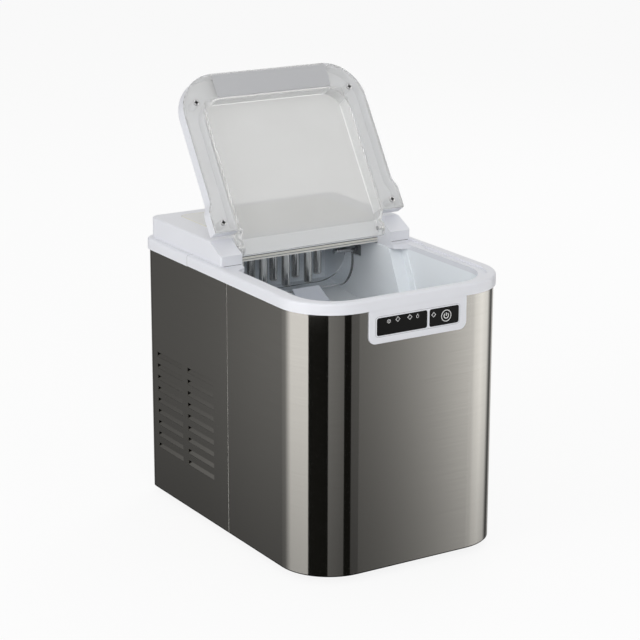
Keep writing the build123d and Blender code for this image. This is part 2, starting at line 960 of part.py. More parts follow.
def bin_liner():
    liner = liner_form(liner_wall) - liner_form(0)
    liner += both_sides(guide_rib())
    x0 = cheek_half - cut_over
    x1 = cheek_half + liner_wall + cut_over
    low = well_floor - liner_wall - cut_over
    high = well_floor + cut_over
    eye_y0 = mouth_half - cut_over
    eye_y1 = mouth_half + liner_wall + cut_over
    holes = [
        block(x0, x1, tray_y - shaft_window_half, tray_y + shaft_window_half,
              tray_z - shaft_window_height, tray_z + shaft_window_height),
        rod_x(-x1, -x0, tray_y, tray_z, shaft_radius + bush_wall),
        rod_z(side - drain_offset, drain_y, low, high, plug_radius - drain_wall),
        rod_z(pump_x - inlet_offset, inlet_y, low, high, hose_bore),
    ]
    holes += both_sides(rod_x(x0, x1, shovel_y, shovel_z, shovel_rod + running_gap))
    holes += both_sides(rod_x(eye_y0, eye_y1, sensor_y, cheek_foot_z, sensor_eye + snug_gap))
    return liner - holes


def foam_jacket():
    outer = casing_plan(sheet + fit_gap + foam_gap)
    wall = liner_wall + foam_gap
    inner = rounded_plan(mouth_half + wall, mouth_front - wall, far, mouth_corner + wall, cut_over)
    jacket = prism(outer - inner, pan_bottom + pan_height + foam_gap, rim_bottom - foam_gap)
    jacket &= block(-far, far, -far, seam_y - seam_flange, 0, far)
    half = peg_x + 2 * board_margin
    board = block(-half, half, -far, mouth_front, window_low - 2 * board_rise, far)
    drain = rod_x(mouth_half, far, drain_y, drain_z, plug_radius + plug_hole_gap)
    reach = sensor_half + foam_gap
    eye = block(mouth_half, far, sensor_y - reach, sensor_y + reach, cheek_foot_z - reach, cheek_foot_z + reach)
    return jacket - [board, drain] - both_sides(eye)


def ice_sensors():
    x = mouth_half + liner_wall
    low = cheek_foot_z - sensor_half
    high = cheek_foot_z + sensor_half
    sensor = block(x, side - sheet - sensor_room, sensor_y - sensor_half, sensor_y + sensor_half, low, high)
    sensor += rod_x(mouth_half + sensor_recess, x + cut_over, sensor_y, cheek_foot_z, sensor_eye)
    return both_sides(sensor)


# Evaporator and tray

def evaporator_tube():
    left = tray_left - evap_left_gap
    right = tray_right - evap_right_gap
    high = evap_z + evap_rise
    turn_x = finger_first_x - evap_left_gap
    points = [
        (left, row_front, evap_z),
        (right, row_front, evap_z),
        (right, row_rear, evap_z),
        (turn_x, row_rear, evap_z),
        (turn_x, row_front + evap_return, high),
        (left, row_front + evap_return, high),
    ]
    return tube(points, evap_bend, evap_radius)


def evaporator_fingers():
    fingers = []
    for y, count in zip((row_front, row_rear), finger_counts):
        for k in range(count):
            x = finger_first_x + k * finger_pitch
            finger = rod_z(x, y, finger_tip_z, evap_z - evap_radius, finger_radius)
            fingers.append(fillet(finger.faces().sort_by(Axis.Z)[0].edges(), finger_round))
    return fingers


def evaporator_bracket():
    y0 = slope_top_y + cover_wall + cut_over
    y1 = row_rear + bracket_reach
    plate = block(bracket_left, bracket_right, y0, y1, rim_top, rim_top + bracket_thick)
    hooks = [block(x, x + bracket_hook, y1 - bracket_thick, y1, evap_z - evap_radius, rim_top)
             for x in (bracket_left, bracket_right - bracket_hook)]
    return plate + hooks


def tray_sector(start, sweep_angle):
    # everything beyond the tray's axis between two angles, seen from its right end
    steps = 12
    angles = [radians(start + sweep_angle * k / steps) for k in range(steps + 1)]
    rim = [(tray_y + 2 * tray_outer * cos(angle), tray_z + 2 * tray_outer * sin(angle)) for angle in angles]
    return across([(tray_y, tray_z)] + rim, tray_left - cut_over, tray_right + cut_over)


def water_tray():
    wall = tray_wall
    drum = rod_x(tray_left, tray_right, tray_y, tray_z, tray_outer)
    drum -= rod_x(tray_left + wall, tray_right - wall, tray_y, tray_z, tray_inner)
    drum &= tray_sector(180 - tray_horn_angle, tray_span + tray_lip_drop + tray_horn_angle)
    # the front wall drops to its lip, and sweeps up in a horn at the right end
    lip_z = tray_z - tray_outer * sin(radians(tray_lip_drop))
    horn_x = tray_right - tray_horn_width
    scoop = Pos((2 * tray_left + horn_x) / 2, lip_z + far / 2) * Rectangle(horn_x - 2 * tray_left, far)
    scoop = fillet(scoop.vertices().group_by(Axis.Y)[0].sort_by(Axis.X)[-1:], tray_horn_radius)
    drum -= Pos(0, tray_y, 0) * extrude(Plane.XZ * scoop, far)
    bosses = [rod_x(tray_left, tray_left + wall, tray_y, tray_z, tray_boss_radius),
              rod_x(tray_right - wall, tray_right, tray_y, tray_z, tray_boss_radius)]
    stub = rod_x(-cheek_half - liner_wall - stub_out, tray_left + wall / 2, tray_y, tray_z, shaft_radius)
    bore = rod_x(tray_right - wall - cut_over, tray_right + cut_over, tray_y, tray_z, shaft_radius)
    return drum + bosses + [stub] - bore


def tray_shaft():
    return rod_x(tray_right - tray_wall, cheek_half + liner_wall + shaft_in_motor, tray_y, tray_z, shaft_radius)


def tray_bush():
    x0 = -cheek_half - liner_wall - stub_out
    x1 = -cheek_half + bush_flange
    bush = rod_x(x0, -cheek_half, tray_y, tray_z, shaft_radius + bush_wall - running_gap)
    bush += rod_x(-cheek_half, x1, tray_y, tray_z, shaft_radius + bush_wall + bush_flange)
    return bush - rod_x(x0 - cut_over, x1 + cut_over, tray_y, tray_z, shaft_radius + running_gap)


def tray_motor():
    x0 = cheek_half + liner_wall
    x1 = x0 + motor_plate
    z = tray_z - motor_drop
    motor = rod_x(x1, x1 + motor_depth, tray_y, z, motor_radius)
    motor += rod_x(x0 + fit_gap, x1, tray_y, z, motor_neck)
    lug_low = z - motor_lug_height
    motor += block(x0, x1, tray_y - motor_lug_half, tray_y + motor_lug_half, lug_low, z + motor_lug_height)
    bore_end = x0 + shaft_in_motor + cut_over
    return motor - rod_x(x0 - cut_over, bore_end, tray_y, tray_z, shaft_radius + running_gap)


def ice_shovel():
    left = shovel_left - shovel_flare
    right = shovel_right + shovel_flare
    inset = shovel_flare / 2
    outline = make_face(Polyline((left, shovel_z), (right, shovel_z), (shovel_right - inset, shovel_top_z),
                                 (shovel_left + inset, shovel_top_z), close=True))
    notch_low = shovel_top_z - shovel_notch_depth
    outline -= Pos((left + right) / 2, notch_low + far / 2) * Rectangle(shovel_notch, far)
    belly_y = shovel_y - shovel_belly
    bend_z = shovel_top_z - shovel_bend
    root = shovel_rod / 3
    profile = [(shovel_y - root, shovel_z), (belly_y, bend_z), (shovel_y + 2 * root, shovel_top_z),
               (shovel_y + 2 * root, shovel_top_z - shovel_plate), (belly_y + shovel_rod, bend_z),
               (shovel_y + root, shovel_z)]
    blade = across(profile, left, right)
    blade &= Pos(0, far / 2, 0) * extrude(Plane.XZ * outline, far)
    end = cheek_half + shovel_pin
    return blade + rod_x(-end, end, shovel_y, shovel_z, shovel_rod)


# Refrigeration and air

def mount_turns():
    return [90 + 360 / mount_count * k for k in range(mount_count)]


def compressor():
    low = compressor_low
    high = compressor_high
    bowl = compressor_radius - bowl_inset
    dome = compressor_radius - dome_inset
    weld = low + weld_low
    profile = [
        Line((0, low), (bowl_radius, low)),
        RadiusArc((bowl_radius, low), (bowl, low + bowl_height), -bowl_curve),
        Line((bowl, low + bowl_height), (bowl, weld)),
        Line((bowl, weld), (compressor_radius, weld)),
        Line((compressor_radius, weld), (compressor_radius, weld + weld_height)),
        Line((compressor_radius, weld + weld_height), (dome, weld + weld_height)),
        Line((dome, weld + weld_height), (dome, high - dome_height)),
        RadiusArc((dome, high - dome_height), (0, high), -dome_curve),
        Line((0, high), (0, low)),
    ]
    shell = revolve(Plane.XZ * make_face(Curve() + profile), Axis.Z)
    reach = mount_reach + foot_plate_edge
    foot = Circle(foot_plate_core)
    foot += [Rot(0, 0, turn) * Pos(reach / 2, 0) * Rectangle(reach, foot_plate_width) for turn in mount_turns()]
    foot -= [Rot(0, 0, turn) * Pos(mount_reach, 0) * Circle(mount_neck + fit_gap) for turn in mount_turns()]
    shell += prism(foot, low - foot_plate, low)
    end = -compressor_radius - stub_reach
    shell += [
        rod_x(end, 0, 0, low + suction_stub, evap_radius + stub_wall),
        rod_x(end, 0, -stub_offset, low + discharge_stub, line_radius + stub_wall),
        Pos(0, terminal_inset - compressor_radius, low + terminal_rise)
        * Box(terminal_width, terminal_depth, terminal_height),
    ]
    return Pos(compressor_x, compressor_y, 0) * shell


def compressor_mounts():
    low = compressor_low - foot_plate
    grommet = rod_z(0, 0, pan_top, low, mount_radius)
    grommet += rod_z(0, 0, low, compressor_low, mount_neck)
    grommet += rod_z(0, 0, compressor_low, compressor_low + mount_cap_height, mount_cap)
    middle = Pos(compressor_x, compressor_y, 0)
    return [middle * Rot(0, 0, turn) * Pos(mount_reach, 0, 0) * grommet for turn in mount_turns()]


def coil_levels():
    return [coil_low + coil_pitch * k for k in range(coil_passes)]


def condenser_coil():
    points = []
    for k, z in enumerate(reversed(coil_levels())):
        ends = (coil_front, coil_rear) if k % 2 == 0 else (coil_rear, coil_front)
        points += [(coil_x, y, z) for y in ends]
    return tube(points, coil_pitch / 2 - coil_bend_slack, coil_radius)


def fin_places():
    first = coil_front + fin_end_gap
    last = coil_rear - fin_end_gap
    return [first + (last - first) * k / (fin_count - 1) for k in range(fin_count)]


def fin_plate(y, thick, low, high):
    half = fin_depth / 2
    plate = block(coil_x - half, coil_x + half, y - thick / 2, y + thick / 2, low, high)
    hole = coil_radius + fin_gap
    for z in coil_levels():
        plate -= block(coil_x - hole, coil_x + hole, y - thick, y + thick, z - hole, z + hole)
    return plate


def condenser_fins():
    low = coil_low - coil_pitch / 2 + frame_trim
    return [fin_plate(y, fin_thick, low, coil_top - frame_trim) for y in fin_places()[1:-1]]


def condenser_frame():
    y0 = fin_places()[0]
    y1 = fin_places()[-1]
    x0 = coil_x + fin_depth / 2
    x1 = x0 + frame_thick
    frame = fin_plate(y0, frame_thick, pan_top, coil_top) + fin_plate(y1, frame_thick, pan_top, coil_top)
    return frame + [block(x0, x1, y0, y1, coil_top - frame_rail, coil_top),
                    block(x0, x1, y0, y1, pan_top, pan_top + frame_rail)]


def fan_shroud():
    x0 = shroud_x
    x1 = shroud_x + shroud_depth
    bore = fan_radius + fan_tip_gap
    plate = block(x0, x0 + shroud_thick, coil_front + shroud_inset, coil_rear - shroud_inset, pan_top, coil_top)
    plate += rod_x(x0, x1, fan_y, fan_z, bore + shroud_thick)
    plate -= rod_x(x0 - cut_over, x1 + cut_over, fan_y, fan_z, bore)
    reach = bore + shroud_thick / 2
    spoke = Pos(0, 0, reach / 2) * Box(shroud_arm_thick, shroud_arm, reach)
    seat_x = x1 - shroud_arm_thick
    middle = Pos(x1 - shroud_arm_thick / 2, fan_y, fan_z)
    arms = [middle * Rot(turn, 0, 0) * spoke for turn in mount_turns()]
    seat = rod_x(seat_x, x1, fan_y, fan_z, shroud_seat)
    return plate + arms + [seat] - rod_x(x0, x1 + cut_over, fan_y, fan_z, shroud_hole)


def fan_motor():
    x0 = shroud_x + shroud_depth
    motor = rod_x(x0, x0 + fan_motor_depth, fan_y, fan_z, fan_motor_radius)
    motor = fillet(motor.faces().sort_by(Axis.X)[-1].edges(), fan_hub_round)
    motor += rod_x(x0 - fan_motor_nose, x0, fan_y, fan_z, fan_motor_neck)
    x1 = x0 + fan_motor_bore
    return motor - rod_x(x0 - fan_motor_nose - cut_over, x1, fan_y, fan_z, shaft_radius + running_gap)


def fan_shaft():
    x0 = shroud_x + fan_standoff - cut_over
    return rod_x(x0, x0 + fan_shaft_length, fan_y, fan_z, shaft_radius)


def fan_rotor():
    x0 = shroud_x + fan_standoff
    x1 = x0 + fan_hub_depth
    hub = rod_x(x0, x1, fan_y, fan_z, fan_hub)
    hub = fillet(hub.faces().sort_by(Axis.X)[0].edges(), fan_hub_round)
    span = fan_radius - blade_root
    blade = Pos(0, 0, blade_root + span / 2) * Rot(0, 0, blade_pitch) * Box(blade_thick, blade_chord, span)
    blade &= rod_x(-blade_chord, blade_chord, 0, 0, fan_radius)
    middle = Pos((x0 + x1) / 2, fan_y, fan_z)
    blades = [middle * Rot(360 / fan_blades * k, 0, 0) * blade for k in range(fan_blades)]
    return hub + blades - rod_x(x0 - cut_over, x1 + cut_over, fan_y, fan_z, shaft_radius)


def suction_line():
    y0 = row_front + evap_return
    high = evap_z + evap_rise
    z = compressor_low + suction_stub
    points = [
        (tray_left - evap_left_gap, y0, high),
        (suction_x, y0, high),
        (suction_x, line_rear_y, high),
        (suction_x, line_rear_y, line_z),
        (drop_x, line_rear_y, line_z),
        (drop_x, line_rear_y, z),
        (drop_x, compressor_y, z),
        (stub_end_x, compressor_y, z),
    ]
    return tube(points, suction_bend, evap_radius)


def discharge_line():
    x = drop_x + line_offset
    y = compressor_y - stub_offset
    z = compressor_low + discharge_stub
    top = coil_levels()[-1]
    ahead = coil_front - coil_turn
    high = line_z - line_step
    points = [
        (stub_end_x, y, z),
        (x, y, z),
        (x, y, high),
        (x, ahead, high),
        (coil_x, ahead, high),
        (coil_x, ahead, top),
        (coil_x, coil_front, top),
    ]
    return tube(points, discharge_bend, line_radius)


def filter_drier():
    low = drier_low
    high = drier_low + drier_length
    neck = capillary_radius + drier_wall
    profile = Polyline(
        (0, low),
        (line_radius, low),
        (line_radius, low + drier_neck),
        (drier_radius, low + drier_neck + drier_taper),
        (drier_radius, high - drier_neck - drier_cone),
        (neck, high - drier_neck),
        (neck, high),
        (0, high),
        close=True,
    )
    return Pos(capillary_x, drier_y, 0) * revolve(Plane.XZ * make_face(profile), Axis.Z)


def capillary_line():
    points = [(tray_left - evap_left_gap, row_front, evap_z), (capillary_x, row_front, evap_z),
              (capillary_x, drier_y, evap_z), (capillary_x, drier_y, drier_low + drier_length)]
    return tube(points, capillary_bend, capillary_radius)


def liquid_line():
    low = coil_levels()[0]
    points = [(coil_x, coil_rear, low), (coil_x, drier_y, low), (capillary_x, drier_y, low),
              (capillary_x, drier_y, drier_low)]
    return tube(points, liquid_bend, line_radius)


# Water

def water_pump():
    top = pan_top + pump_height
    pump = rod_z(pump_x, pump_y, pan_top, top, pump_radius)
    pump = fillet(pump.faces().sort_by(Axis.Z)[-1].edges(), pump_round)
    pump += rod_z(pump_x, pump_y, top, top + pump_spigot, hose_bore)
    inlet_x = pump_x - pump_radius - pump_spigot
    return pump + rod_x(inlet_x, pump_x, pump_y, pan_top + pump_inlet_rise, hose_bore)


def pump_inlet_hose():
    x = pump_x - inlet_offset
    z = pan_top + pump_inlet_rise
    points = [(x, inlet_y, well_floor - liner_wall), (x, inlet_y, z), (x, pump_y, z),
              (pump_x - pump_radius, pump_y, z)]
    return tube(points, inlet_bend, hose_radius, hose_bore)


def pump_outlet_hose():
    y = tray_y - spout_offset
    z = tray_z + spout_rise
    rear_y = rear - hose_rear_margin
    points = [
        (pump_x, pump_y, pan_top + pump_height),
        (pump_x, pump_y, hose_z),
        (pump_x, rear_y, hose_z),
        (pump_x, rear_y, z),
        (pump_x, y, z),
        (tray_right - spout_reach, y, z),
    ]
    return tube(points, hose_bend, hose_radius, hose_bore)


def drain_hose():
    x = side - drain_offset
    points = [(x, drain_y, well_floor - liner_wall), (x, drain_y, drain_z),
              (side - plug_cap_depth, drain_y, drain_z)]
    return tube(points, drain_bend, plug_radius, plug_radius - drain_wall)


def drain_plug():
    plug = rod_x(side - plug_length, side, drain_y, drain_z, plug_radius - drain_wall - running_gap)
    face = side + plug_proud
    plug += rod_x(side - plug_cap_depth, face, drain_y, drain_z, plug_radius + plug_cap)
    half = plug_slot_length / 2
    return plug - block(face - plug_slot_depth, face + cut_over, drain_y - half, drain_y + half,
                        drain_z - plug_slot / 2, drain_z + plug_slot / 2)


# Electrics at the back

def main_board():
    x0 = drop_x + evap_radius + main_rise
    x1 = x0 + main_width
    z0 = compressor_high + main_rise
    z1 = z0 + main_height
    back = rear - sheet - main_standoff
    face = back - main_thick
    board = block(x0, x1, face, back, z0, z1)
    relay_z = z0 + relay_inset
    relays = [block(x, x + relay_width, face - relay_depth, face, relay_z, relay_z + relay_height)
              for x in (x0 + relay_inset, x1 - relay_inset - relay_width)]
    capacitor = rod_y((x0 + x1) / 2, face - capacitor_length, face, z1 - 2 * relay_inset, capacitor_radius)
    inset = main_post_inset
    corners = [(x, z) for x in (x0 + inset, x1 - inset) for z in (z0 + inset, z1 - inset)]
    posts = [rod_y(x, back, rear - sheet, z, main_post) for x, z in corners]
    return board + relays + [capacitor] + posts


def cord_gland():
    gland = rod_y(gland_x, rear, rear + gland_proud, gland_z, gland_flange)
    gland = fillet(gland.faces().sort_by(Axis.Y)[-1].edges(), gland_round)
    inner = rear - gland_length
    gland += rod_y(gland_x, inner, rear, gland_z, gland_radius)
    gland += rod_y(gland_x, inner, rear - gland_grip, gland_z, gland_barb)
    return gland - rod_y(gland_x, inner - cut_over, rear + gland_proud + cut_over, gland_z, gland_bore)


pieces = [
    base_pan, rubber_feet, front_shell, rear_shell, case_screws, front_rim, rear_rim, rear_cover, rear_top_plate,
    hinge_pins, lid_frame, lid_window, lid_screws, control_bezel, indicator_panel, button_panel, indicator_lenses,
    power_button, control_board, bin_liner, foam_jacket, ice_sensors, evaporator_tube, evaporator_fingers,
    evaporator_bracket, water_tray, tray_shaft, tray_bush, tray_motor, ice_shovel, compressor, compressor_mounts,
    condenser_coil, condenser_fins, condenser_frame, fan_shroud, fan_motor, fan_shaft, fan_rotor, suction_line,
    discharge_line, filter_drier, capillary_line, liquid_line, water_pump, pump_inlet_hose, pump_outlet_hose,
    drain_hose, drain_plug, main_board, cord_gland,
]

os.makedirs("parts", exist_ok=True)
for make in pieces:
    piece = make()
    if isinstance(piece, list):
        piece = Compound(children=piece)
    export_step(piece, f"parts/{make.__name__}.step")
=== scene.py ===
import json
from math import cos, pi, radians, sin

import bmesh
import bpy
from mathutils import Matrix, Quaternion, Vector


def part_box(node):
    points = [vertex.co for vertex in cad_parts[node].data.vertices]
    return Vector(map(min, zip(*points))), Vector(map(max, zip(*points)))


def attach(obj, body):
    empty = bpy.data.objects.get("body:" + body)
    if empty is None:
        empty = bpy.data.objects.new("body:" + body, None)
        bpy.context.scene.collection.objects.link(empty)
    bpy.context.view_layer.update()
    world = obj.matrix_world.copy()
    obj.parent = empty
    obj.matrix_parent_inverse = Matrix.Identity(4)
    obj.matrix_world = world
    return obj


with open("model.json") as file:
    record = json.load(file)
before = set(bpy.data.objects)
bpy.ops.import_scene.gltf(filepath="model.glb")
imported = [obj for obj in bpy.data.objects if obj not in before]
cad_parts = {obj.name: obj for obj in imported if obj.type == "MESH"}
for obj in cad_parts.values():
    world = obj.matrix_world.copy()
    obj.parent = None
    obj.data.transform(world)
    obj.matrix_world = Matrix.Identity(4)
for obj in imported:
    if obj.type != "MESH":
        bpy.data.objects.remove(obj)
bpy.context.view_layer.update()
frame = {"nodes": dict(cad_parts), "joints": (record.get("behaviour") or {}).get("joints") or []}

nodes = frame["nodes"]
joints = {joint["name"]: joint for joint in frame["joints"]}
scene = bpy.context.scene
mm = 0.001


# shading helpers

def feed(tree, socket, value):
    # a socket is linked, anything else is set
    if hasattr(value, "is_output"):
        tree.links.new(value, socket)
    else:
        socket.default_value = value


def addNode(tree, kind, values=None, **settings):
    node = tree.nodes.new(kind)
    for key, value in settings.items():
        setattr(node, key, value)
    for key, value in (values or {}).items():
        feed(tree, node.inputs[key], value)
    return node


def maths(tree, operation, *values):
    node = addNode(tree, "ShaderNodeMath", dict(enumerate(values)), operation=operation)
    return node.outputs["Value"]


def emptyFinish(name):
    material = bpy.data.materials.new(name)
    material.use_nodes = True
    tree = material.node_tree
    tree.nodes.clear()
    surface = tree.nodes.new("ShaderNodeOutputMaterial").inputs["Surface"]
    return material, tree, surface


def newFinish(name):
    material, tree, surface = emptyFinish(name)
    shader = tree.nodes.new("ShaderNodeBsdfPrincipled")
    tree.links.new(shader.outputs["BSDF"], surface)
    return material, tree, shader


def setShader(shader, **values):
    for key, value in values.items():
        shader.inputs[key.replace("_", " ")].default_value = value


def objectPlace(tree):
    return addNode(tree, "ShaderNodeTexCoord").outputs["Object"]


def placeAlong(tree, axis):
    return addNode(tree, "ShaderNodeSeparateXYZ", {"Vector": objectPlace(tree)}).outputs[axis]


def inField(tree, value, middle, reach):
    # 1 within reach of the middle, 0 outside
    return maths(tree, "COMPARE", value, middle, reach)


def objectNoise(tree, scale, stretch=(1, 1, 1), detail=3.0):
    mapping = addNode(tree, "ShaderNodeMapping", {"Vector": objectPlace(tree), "Scale": stretch})
    noise = addNode(tree, "ShaderNodeTexNoise",
                    {"Vector": mapping.outputs["Vector"], "Scale": scale, "Detail": detail})
    return noise.outputs["Fac"]


def between(tree, factor, low, high, start=0.0, end=1.0):
    ramp = addNode(tree, "ShaderNodeMapRange", {
        "Value": factor, "From Min": start, "From Max": end, "To Min": low, "To Max": high})
    return ramp.outputs["Result"]


def tint(tree, factor, first, second):
    # two colours mixed by a factor; each is a triple or a socket
    mix = addNode(tree, "ShaderNodeMix", {"Factor": factor}, data_type="RGBA")
    ends = [socket for socket in mix.inputs if socket.type == "RGBA"]
    for end, colour in zip(ends, (first, second)):
        feed(tree, end, colour if hasattr(colour, "is_output") else (*colour, 1))
    return next(socket for socket in mix.outputs if socket.type == "RGBA")


def bumpInto(tree, shader, height, strength, depth):
    bump = addNode(tree, "ShaderNodeBump", {"Height": height, "Strength": strength, "Distance": depth})
    tree.links.new(bump.outputs["Normal"], shader.inputs["Normal"])


mouldedUsual = {"driftScale": 14.0, "grainScale": 1400.0, "grain": 0.06, "grainDepth": 0.2 * mm, "ior": 1.49}


def moulded(name, look, over=None):
    # plastic or rubber: slow drift of tone, fine spark-eroded grain
    look = {**mouldedUsual, **look}
    material, tree, shader = newFinish(name)
    drift = objectNoise(tree, look["driftScale"])
    grain = objectNoise(tree, look["grainScale"], detail=2.0)
    tone = tint(tree, drift, look["shade"], look["colour"])
    tree.links.new(over(tree, tone) if over else tone, shader.inputs["Base Color"])
    tree.links.new(between(tree, grain, *look["roughness"]), shader.inputs["Roughness"])
    bumpInto(tree, shader, grain, look["grain"], look["grainDepth"])
    setShader(shader, IOR=look["ior"])
    return material


drawnUsual = {"stretch": (1, 1, 1), "cloudScale": 9.0, "lineStrength": 0.03, "lineDepth": 0.1 * mm}


def drawn(name, look):
    # metal with lines along one direction
    look = {**drawnUsual, **look}
    material, tree, shader = newFinish(name)
    lines = objectNoise(tree, look["lineScale"], look["stretch"], 4.0)
    cloud = objectNoise(tree, look["cloudScale"])
    tree.links.new(tint(tree, lines, look["shade"], look["colour"]), shader.inputs["Base Color"])
    tree.links.new(between(tree, cloud, *look["roughness"]), shader.inputs["Roughness"])
    bumpInto(tree, shader, lines, look["lineStrength"], look["lineDepth"])
    setShader(shader, Metallic=1.0)
    return material


def dress(material, *names):
    for name in names:
        mesh = nodes[name].data
        mesh.materials.clear()
        mesh.materials.append(material)


# finishes of the solids, the casing first

steelLook = {
    "colour": (0.420, 0.412, 0.393), "shade": (0.388, 0.380, 0.362), "roughness": (0.105, 0.125),
    "lines": (5, 5, 2600), "lineStrength": 0.006, "lineDepth": 0.1 * mm,
    "brush": (14, 14, 2600), "brushSpread": (0.25, 0.75), "anisotropy": 0.8, "acrossLines": 0.25,
    # the hem colour is a painted highlight on the seam's hem
    "hemHighlight": (0.90, 0.89, 0.86), "hemHighlightWidth": 0.9 * mm, "hemHighlightRoughness": 0.55,
    # the foot colour is a painted dark reflection on the rolled edge along the foot
    "foot": (0.05, 0.05, 0.045), "footHeight": 1.0 * mm,
}


def brushedSteel(name, look):
    # brushed round the casing, with a painted highlight on the hem at the seam and a painted dark reflection
    # on the rolled edge along the foot
    material, tree, shader = newFinish(name)
    lines = objectNoise(tree, 1.0, look["lines"], 4.0)
    brush = between(tree, objectNoise(tree, 1.0, look["brush"]), 0.0, 1.0, *look["brushSpread"])
    shellLow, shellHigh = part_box("front_shell")
    hemHighlightHalf = look["hemHighlightWidth"] / 2
    # painted highlight: a pale, rougher band along the hem at the seam
    onHemHighlight = inField(tree, placeAlong(tree, "Y"), shellHigh.y - hemHighlightHalf, hemHighlightHalf)
    # painted dark reflection: a dark band along the bottom of the shell
    onFootReflection = inField(tree, placeAlong(tree, "Z"), shellLow.z, look["footHeight"])
    tone = tint(tree, brush, look["shade"], look["colour"])
    tone = tint(tree, onHemHighlight, tone, look["hemHighlight"])
    tone = tint(tree, onFootReflection, tone, look["foot"])
    tree.links.new(tone, shader.inputs["Base Color"])
    fine, coarse = look["roughness"]
    rough = maths(tree, "MULTIPLY_ADD", onHemHighlight, look["hemHighlightRoughness"], between(tree, brush, coarse, fine))
    tree.links.new(rough, shader.inputs["Roughness"])
    bumpInto(tree, shader, lines, look["lineStrength"], look["lineDepth"])
    around = addNode(tree, "ShaderNodeTangent", direction_type="RADIAL", axis="Z")
    tree.links.new(around.outputs["Tangent"], shader.inputs["Tangent"])
    setShader(shader, Metallic=1.0, Anisotropic=look["anisotropy"], Anisotropic_Rotation=look["acrossLines"])
    return material


dress(brushedSteel("brushedSteel", steelLook), "front_shell", "rear_shell")

whiteLook = {"colour": (0.765, 0.775, 0.815), "shade": (0.735, 0.745, 0.785), "roughness": (0.26, 0.36)}
dress(moulded("whiteMoulding", whiteLook), "rear_cover", "lid_frame", "control_bezel")

# the joint colour is painted shade in the narrow gap between the two rims
rimLook = {**whiteLook, "joint": (0.40, 0.405, 0.42), "jointShadeHalf": 0.35 * mm}


def rimJointShade(tree, tone):
    # painted shade: a dark line along the joint between the two rims
    middle = (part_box("front_rim")[1].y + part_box("rear_rim")[0].y) / 2
    onJointShade = inField(tree, placeAlong(tree, "Y"), middle, rimLook["jointShadeHalf"])
    return tint(tree, onJointShade, tone, rimLook["joint"])


dress(moulded("whiteRim", rimLook, rimJointShade), "front_rim", "rear_rim")

linerLook = {"colour": (0.87, 0.905, 0.935), "shade": (0.84, 0.875, 0.905), "roughness": (0.30, 0.42)}
dress(moulded("binPlastic", linerLook), "bin_liner")

shovelLook = {"colour": (0.44, 0.465, 0.52), "shade": (0.39, 0.415, 0.465), "roughness": (0.22, 0.32)}
dress(moulded("trayPlastic", shovelLook), "ice_shovel")

blackLook = {"colour": (0.008, 0.008, 0.008), "shade": (0.005, 0.005, 0.005), "roughness": (0.12, 0.2),
             "grain": 0.02, "ior": 1.22}
dress(moulded("panelBlack", blackLook), "indicator_panel", "button_panel", "power_button")

lensLook = {"colour": (0.030, 0.032, 0.036), "shade": (0.02, 0.022, 0.025), "roughness": (0.08, 0.14),
            "grain": 0.01}
dress(moulded("lensDark", lensLook), "indicator_lenses")

rubberLook = {"colour": (0.028, 0.028, 0.028), "shade": (0.018, 0.018, 0.018), "roughness": (0.62, 0.78),
              "grain": 0.15}
dress(moulded("blackRubber", rubberLook), "rubber_feet", "compressor_mounts", "cord_gland")

blackPlasticLook = {"colour": (0.035, 0.035, 0.037), "shade": (0.026, 0.026, 0.028),
                    "roughness": (0.42, 0.55)}
dress(moulded("blackPlastic", blackPlasticLook), "fan_rotor", "water_pump", "ice_sensors", "drain_plug")

greyPlasticLook = {"colour": (0.30, 0.31, 0.32), "shade": (0.26, 0.27, 0.28), "roughness": (0.45, 0.6)}
dress(moulded("greyPlastic", greyPlasticLook), "base_pan", "fan_shroud", "tray_motor", "tray_bush")

boardLook = {"colour": (0.05, 0.22, 0.12), "shade": (0.035, 0.17, 0.09), "roughness": (0.3, 0.45),
             "driftScale": 260.0}
dress(moulded("circuitBoard", boardLook), "control_board", "main_board")

foamLook = {"colour": (0.82, 0.77, 0.58), "shade": (0.72, 0.66, 0.46), "roughness": (0.8, 0.95),
            "grain": 0.6, "grainScale": 420.0, "driftScale": 60.0}
dress(moulded("paleFoam", foamLook), "foam_jacket")

hoseLook = {"colour": (0.74, 0.75, 0.74), "shade": (0.68, 0.69, 0.68), "roughness": (0.4, 0.55)}
dress(moulded("siliconeHose", hoseLook), "pump_inlet_hose", "pump_outlet_hose", "drain_hose")

enamelLook = {"colour": (0.02, 0.02, 0.022), "shade": (0.012, 0.012, 0.014), "roughness": (0.32, 0.45),
              "grain": 0.12}
dress(moulded("blackEnamel", enamelLook), "compressor")

nickelLook = {"colour": (0.74, 0.725, 0.70), "shade": (0.52, 0.508, 0.49), "roughness": (0.11, 0.18),
              "lineScale": 160.0, "stretch": (1, 1, 0.25), "lineStrength": 0.12}
dress(drawn("dullNickel", nickelLook), "evaporator_fingers")

screwLook = {"colour": (0.72, 0.72, 0.73), "shade": (0.62, 0.62, 0.63), "roughness": (0.14, 0.22),
             "lineScale": 500.0}
dress(drawn("brightScrew", screwLook), "lid_screws", "case_screws")

turnedLook = {"colour": (0.58, 0.58, 0.59), "shade": (0.48, 0.48, 0.49), "roughness": (0.2, 0.3),
              "lineScale": 900.0, "stretch": (1, 0.05, 0.05)}
dress(drawn("turnedSteel", turnedLook), "hinge_pins", "tray_shaft", "fan_shaft")

copperLook = {"colour": (0.76, 0.42, 0.27), "shade": (0.60, 0.31, 0.19), "roughness": (0.22, 0.36),
              "lineScale": 90.0}
dress(drawn("drawnCopper", copperLook), "evaporator_tube", "condenser_coil", "suction_line",
      "discharge_line", "filter_drier", "capillary_line", "liquid_line")

sheetLook = {"colour": (0.66, 0.67, 0.68), "shade": (0.55, 0.56, 0.57), "roughness": (0.3, 0.42),
             "lineScale": 60.0}
dress(drawn("zincSheet", sheetLook), "condenser_fins", "condenser_frame", "evaporator_bracket", "fan_motor")


